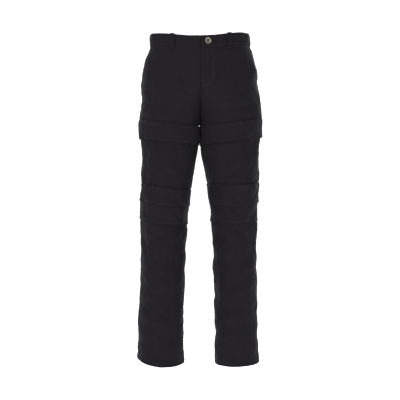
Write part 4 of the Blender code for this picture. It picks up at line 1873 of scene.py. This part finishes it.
@dataclass
class ShankButton:
    """Turned button: a rounded rim, a dished middle with a small boss, and its shank in the slot."""

    stand: Stand
    radius: float = 0.0092
    height: float = 0.0034
    shank: float = 0.0016
    rim: float = 0.0012
    steps: int = 64

    def profile(self) -> list[tuple[float, float]]:
        """Radius and height down the outer side, from the middle of the face to the shank's foot."""
        radius, top = self.radius, self.height + LAY
        foot = -(BAND_CLOTH + BAND_OUT)
        middle, level = radius - self.rim, top - self.rim
        turns = [math.radians(step) for step in range(100, -41, -14)]
        return [
            *((radius * ring.share, top - ring.depth) for ring in BUTTON_FACE),
            *((middle + self.rim * math.cos(turn), level + self.rim * math.sin(turn)) for turn in turns),
            (radius * 0.90, LAY + 0.0003),
            (radius * 0.80, LAY),
            (self.shank * 1.6, LAY),
            (self.shank, LAY - 0.0004),
            (self.shank, foot),
            (0.0, foot),
        ]

    def build(self, wardrobe: Wardrobe) -> bpy.types.Object:
        """Turns the button and marks where it is worn.

        Args:
            wardrobe: The finishes.

        Returns:
            The piece.
        """
        bm = bmesh.new()
        verts = [bm.verts.new((x, 0.0, z)) for x, z in self.profile()]
        edges = [bm.edges.new(pair) for pair in zip(verts, verts[1:])]
        bmesh.ops.spin(
            bm, geom=verts + edges, axis=(0.0, 0.0, 1.0), cent=(0.0, 0.0, 0.0), angle=math.tau,
            steps=self.steps, use_merge=True)
        bmesh.ops.remove_doubles(bm, verts=bm.verts, dist=0.00002)
        bmesh.ops.recalc_face_normals(bm, faces=bm.faces)
        top = self.height + LAY
        worn = [
            float(ease(self.radius * 0.6, self.radius * 0.9, math.hypot(vert.co.x, vert.co.y)))
            * float(ease(top - 0.0022, top, vert.co.z)) for vert in bm.verts]
        bm.transform(self.stand.matrix)
        mesh = bpy.data.meshes.new("button_metal")
        bm.to_mesh(mesh)
        bm.free()
        mesh.attributes.new("worn", "FLOAT", "POINT").data.foreach_set("value", worn)
        mesh.shade_smooth()
        piece = new_piece("button_metal", mesh, wardrobe.slots[Slot.BUTTON], Slot.BUTTON)
        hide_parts("button")
        return piece


@dataclass
class Trousers:
    """All the pieces, by name."""

    wardrobe: Wardrobe

    def upper(self, leg: Leg) -> Iterable[Cloth]:
        """Waistband, pocket facing and hip panels of one side."""
        side = leg.value
        yield Waistband(f"waistband_{side}", leg, BAND_CLOTH, Slot.BAND, size=(0.45, BAND), step=0.0030)
        yield PocketFacing(
            f"pocket_facing_{side}", leg, FACING_CLOTH, Slot.FACING, size=(0.034, 0.16),
            rests_on=(f"front_hip_{side}",))
        for face in Face:
            yield HipPanel(f"{face.value}_hip_{side}", leg, face=face, rests_on=(f"waistband_{side}",))

    def lower(self, leg: Leg) -> Iterable[Cloth]:
        """Thigh and lower leg panels and the flaps of one side."""
        side = leg.value
        for face in Face:
            yield LegPanel(
                f"{face.value}_thigh_{side}", leg, size=(0.26, 0.19), face=face, top=THIGH_SEAM[leg],
                bottom=KNEE_SEAM[leg], rests_on=(f"{face.value}_hip_{side}",))
            yield LegPanel(
                f"{face.value}_shin_{side}", leg, size=(0.23, 0.55), face=face, top=KNEE_SEAM[leg],
                bottom=HEM[leg], hem=True, rests_on=(f"{face.value}_thigh_{side}",))
        lower_top = Edge(*(drop - KNEE_LOWER_HEAD for drop in KNEE_UPPER_END[leg]))
        yield Flap(
            f"thigh_flap_{side}", leg, FLAP_CLOTH, Slot.FLAP, True, FLAP_STEP, (0.54, 0.058),
            (f"front_thigh_{side}",), top=THIGH_SEAM[leg], bottom=THIGH_FLAP_END[leg], phase=0.4 + leg.side)
        yield Flap(
            f"knee_flap_upper_{side}", leg, FLAP_CLOTH, Slot.FLAP, True, FLAP_STEP, (0.49, 0.056),
            (f"front_shin_{side}",), top=KNEE_SEAM[leg], bottom=KNEE_UPPER_END[leg], phase=1.7 - leg.side)
        yield Flap(
            f"knee_flap_lower_{side}", leg, FLAP_CLOTH, Slot.FLAP, True, FLAP_STEP, (0.47, 0.068),
            (f"front_shin_{side}",), top=lower_top, bottom=KNEE_LOWER_END[leg], flare=0.0010,
            top_rows=(0.0022,), phase=2.6 + leg.side)

    def loops(self) -> Iterable[Cloth]:
        """The belt loops."""
        places = (
            ("front_right", Leg.RIGHT, 58), ("front_left", Leg.LEFT, 55), ("side_right", Leg.RIGHT, -12),
            ("side_left", Leg.LEFT, -8), ("back", Leg.LEFT, -89),
        )
        for place, leg, angle in places:
            yield BeltLoop(
                f"belt_loop_{place}", leg, LOOP_CLOTH, Slot.BAND, size=(0.013, 0.07), angle=angle,
                rests_on=(f"waistband_{leg.value}",))

    def build(self) -> None:
        """Builds every piece and logs it."""
        for leg in Leg:
            for piece in (*self.upper(leg), *self.lower(leg)):
                piece.build(self.wardrobe)
        shield = FlyShield(
            "fly_shield", Leg.LEFT, FLAP_CLOTH, Slot.FACING, size=(0.052, 0.124),
            rests_on=("front_hip_left",))
        shield.build(self.wardrobe)
        for loop in self.loops():
            loop.build(self.wardrobe)
        ShankButton(button_stand()).build(self.wardrobe)


class Lamp(NamedTuple):
    """Soft lamp: where it stands, its width and height, and its watts."""

    name: str
    place: tuple[float, float, float]
    size: tuple[float, float]
    power: float


LAMPS = (
    Lamp("key", (-1.5, -2.2, 1.3), (1.2, 1.2), 46.0),
    Lamp("fill", (2.0, -1.8, 0.6), (1.8, 2.2), 20.0),
    Lamp("top", (0.0, 0.2, 2.0), (2.4, 1.6), 26.0),
    Lamp("back", (0.6, 2.4, 1.0), (2.2, 1.8), 34.0),
)


@dataclass
class Studio:
    """Plain pale floor that runs up into a backdrop, soft lamps and the camera."""

    floor: float = -1.16
    half_width: float = 7.0
    near: float = -6.0
    far: float = 5.0
    wall: float = 6.0
    bend: float = 1.6
    glow: float = 0.80
    sky: float = 0.10
    lens: float = 68.6
    sensor: float = 36.0
    viewpoint: tuple[float, float, float] = (0.00126, -2.4, -0.4995)

    def stage(self) -> None:
        """Builds the floor and the backdrop in one sweep."""
        bm = bmesh.new()
        corners = [
            bm.verts.new((x, y, self.floor))
            for x, y in ((-self.half_width, self.near), (self.half_width, self.near),
                         (self.half_width, self.far), (-self.half_width, self.far))]
        floor = bm.faces.new(corners)
        far_edge = next(edge for edge in floor.edges if all(vert.co.y > 0 for vert in edge.verts))
        raised = bmesh.ops.extrude_edge_only(bm, edges=[far_edge])["geom"]
        top = [item for item in raised if isinstance(item, bmesh.types.BMVert)]
        bmesh.ops.translate(bm, vec=(0.0, 0.0, self.wall), verts=top)
        bend = [edge for edge in bm.edges if len(edge.link_faces) == 2]
        bmesh.ops.bevel(
            bm, geom=bend, offset=self.bend, offset_type="OFFSET", segments=16, profile=0.5, affect="EDGES",
            material=-1)
        bmesh.ops.recalc_face_normals(bm, faces=bm.faces)
        mesh = bpy.data.meshes.new("studio_floor")
        bm.to_mesh(mesh)
        bm.free()
        mesh.shade_smooth()
        shader = Shader("pale_floor")
        shader.surface(
            Base_Color=(0.9, 0.9, 0.9, 1.0), Roughness=0.9, Emission_Color=(1.0, 1.0, 1.0, 1.0),
            Emission_Strength=self.glow)
        mesh.materials.append(shader.material)
        sweep = bpy.data.objects.new("studio_floor", mesh)
        bpy.context.scene.collection.objects.link(sweep)
        sweep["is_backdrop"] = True

    def lamp(self, name: str, place: Vector, aim: Vector, size: tuple[float, float], power: float) -> None:
        """Adds a soft rectangular lamp.

        Args:
            name: Its name.
            place: Where it stands.
            aim: What it points at.
            size: Width and height.
            power: Watts.
        """
        light = bpy.data.lights.new(name, "AREA")
        light.shape = "RECTANGLE"
        light.size, light.size_y = size
        light.energy = power
        lamp = bpy.data.objects.new(name, light)
        lamp.location = place
        lamp.rotation_euler = (aim - place).to_track_quat("-Z", "Y").to_euler()
        bpy.context.scene.collection.objects.link(lamp)

    def light(self) -> None:
        """Lights the studio from above and from the front, less towards the hems."""
        world = bpy.data.worlds.new("studio")
        world.use_nodes = True
        background = world.node_tree.nodes["Background"]
        background.inputs["Color"].default_value = (1.0, 1.0, 1.0, 1.0)
        background.inputs["Strength"].default_value = self.sky
        bpy.context.scene.world = world
        hips = Vector((0.0, 0.0, -0.25))
        for lamp in LAMPS:
            self.lamp(lamp.name, Vector(lamp.place), hips, lamp.size, lamp.power)

    def camera(self) -> None:
        """Sets the camera level with the middle of the trousers, straight in front."""
        lens = bpy.data.cameras.new("camera")
        lens.lens = self.lens
        lens.sensor_width = self.sensor
        viewer = bpy.data.objects.new("camera", lens)
        viewer.location = self.viewpoint
        viewer.rotation_euler = (math.pi / 2, 0.0, 0.0)
        bpy.context.scene.collection.objects.link(viewer)
        bpy.context.scene.camera = viewer

    def build(self) -> None:
        """Builds the stage, the lamps and the camera."""
        bpy.context.scene.view_settings.view_transform = "Standard"
        self.stage()
        self.light()
        self.camera()


def main() -> None:
    """Builds the studio and the trousers."""
    logging.basicConfig(level=logging.INFO, format="%(message)s")
    Studio().build()
    Trousers(Wardrobe()).build()
    boxes = {"cad": CAD_BOX, "visual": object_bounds()}
    {name: [list(corner) for corner in box] for name, box in boxes.items()}


if __name__ == "__main__":
    main()
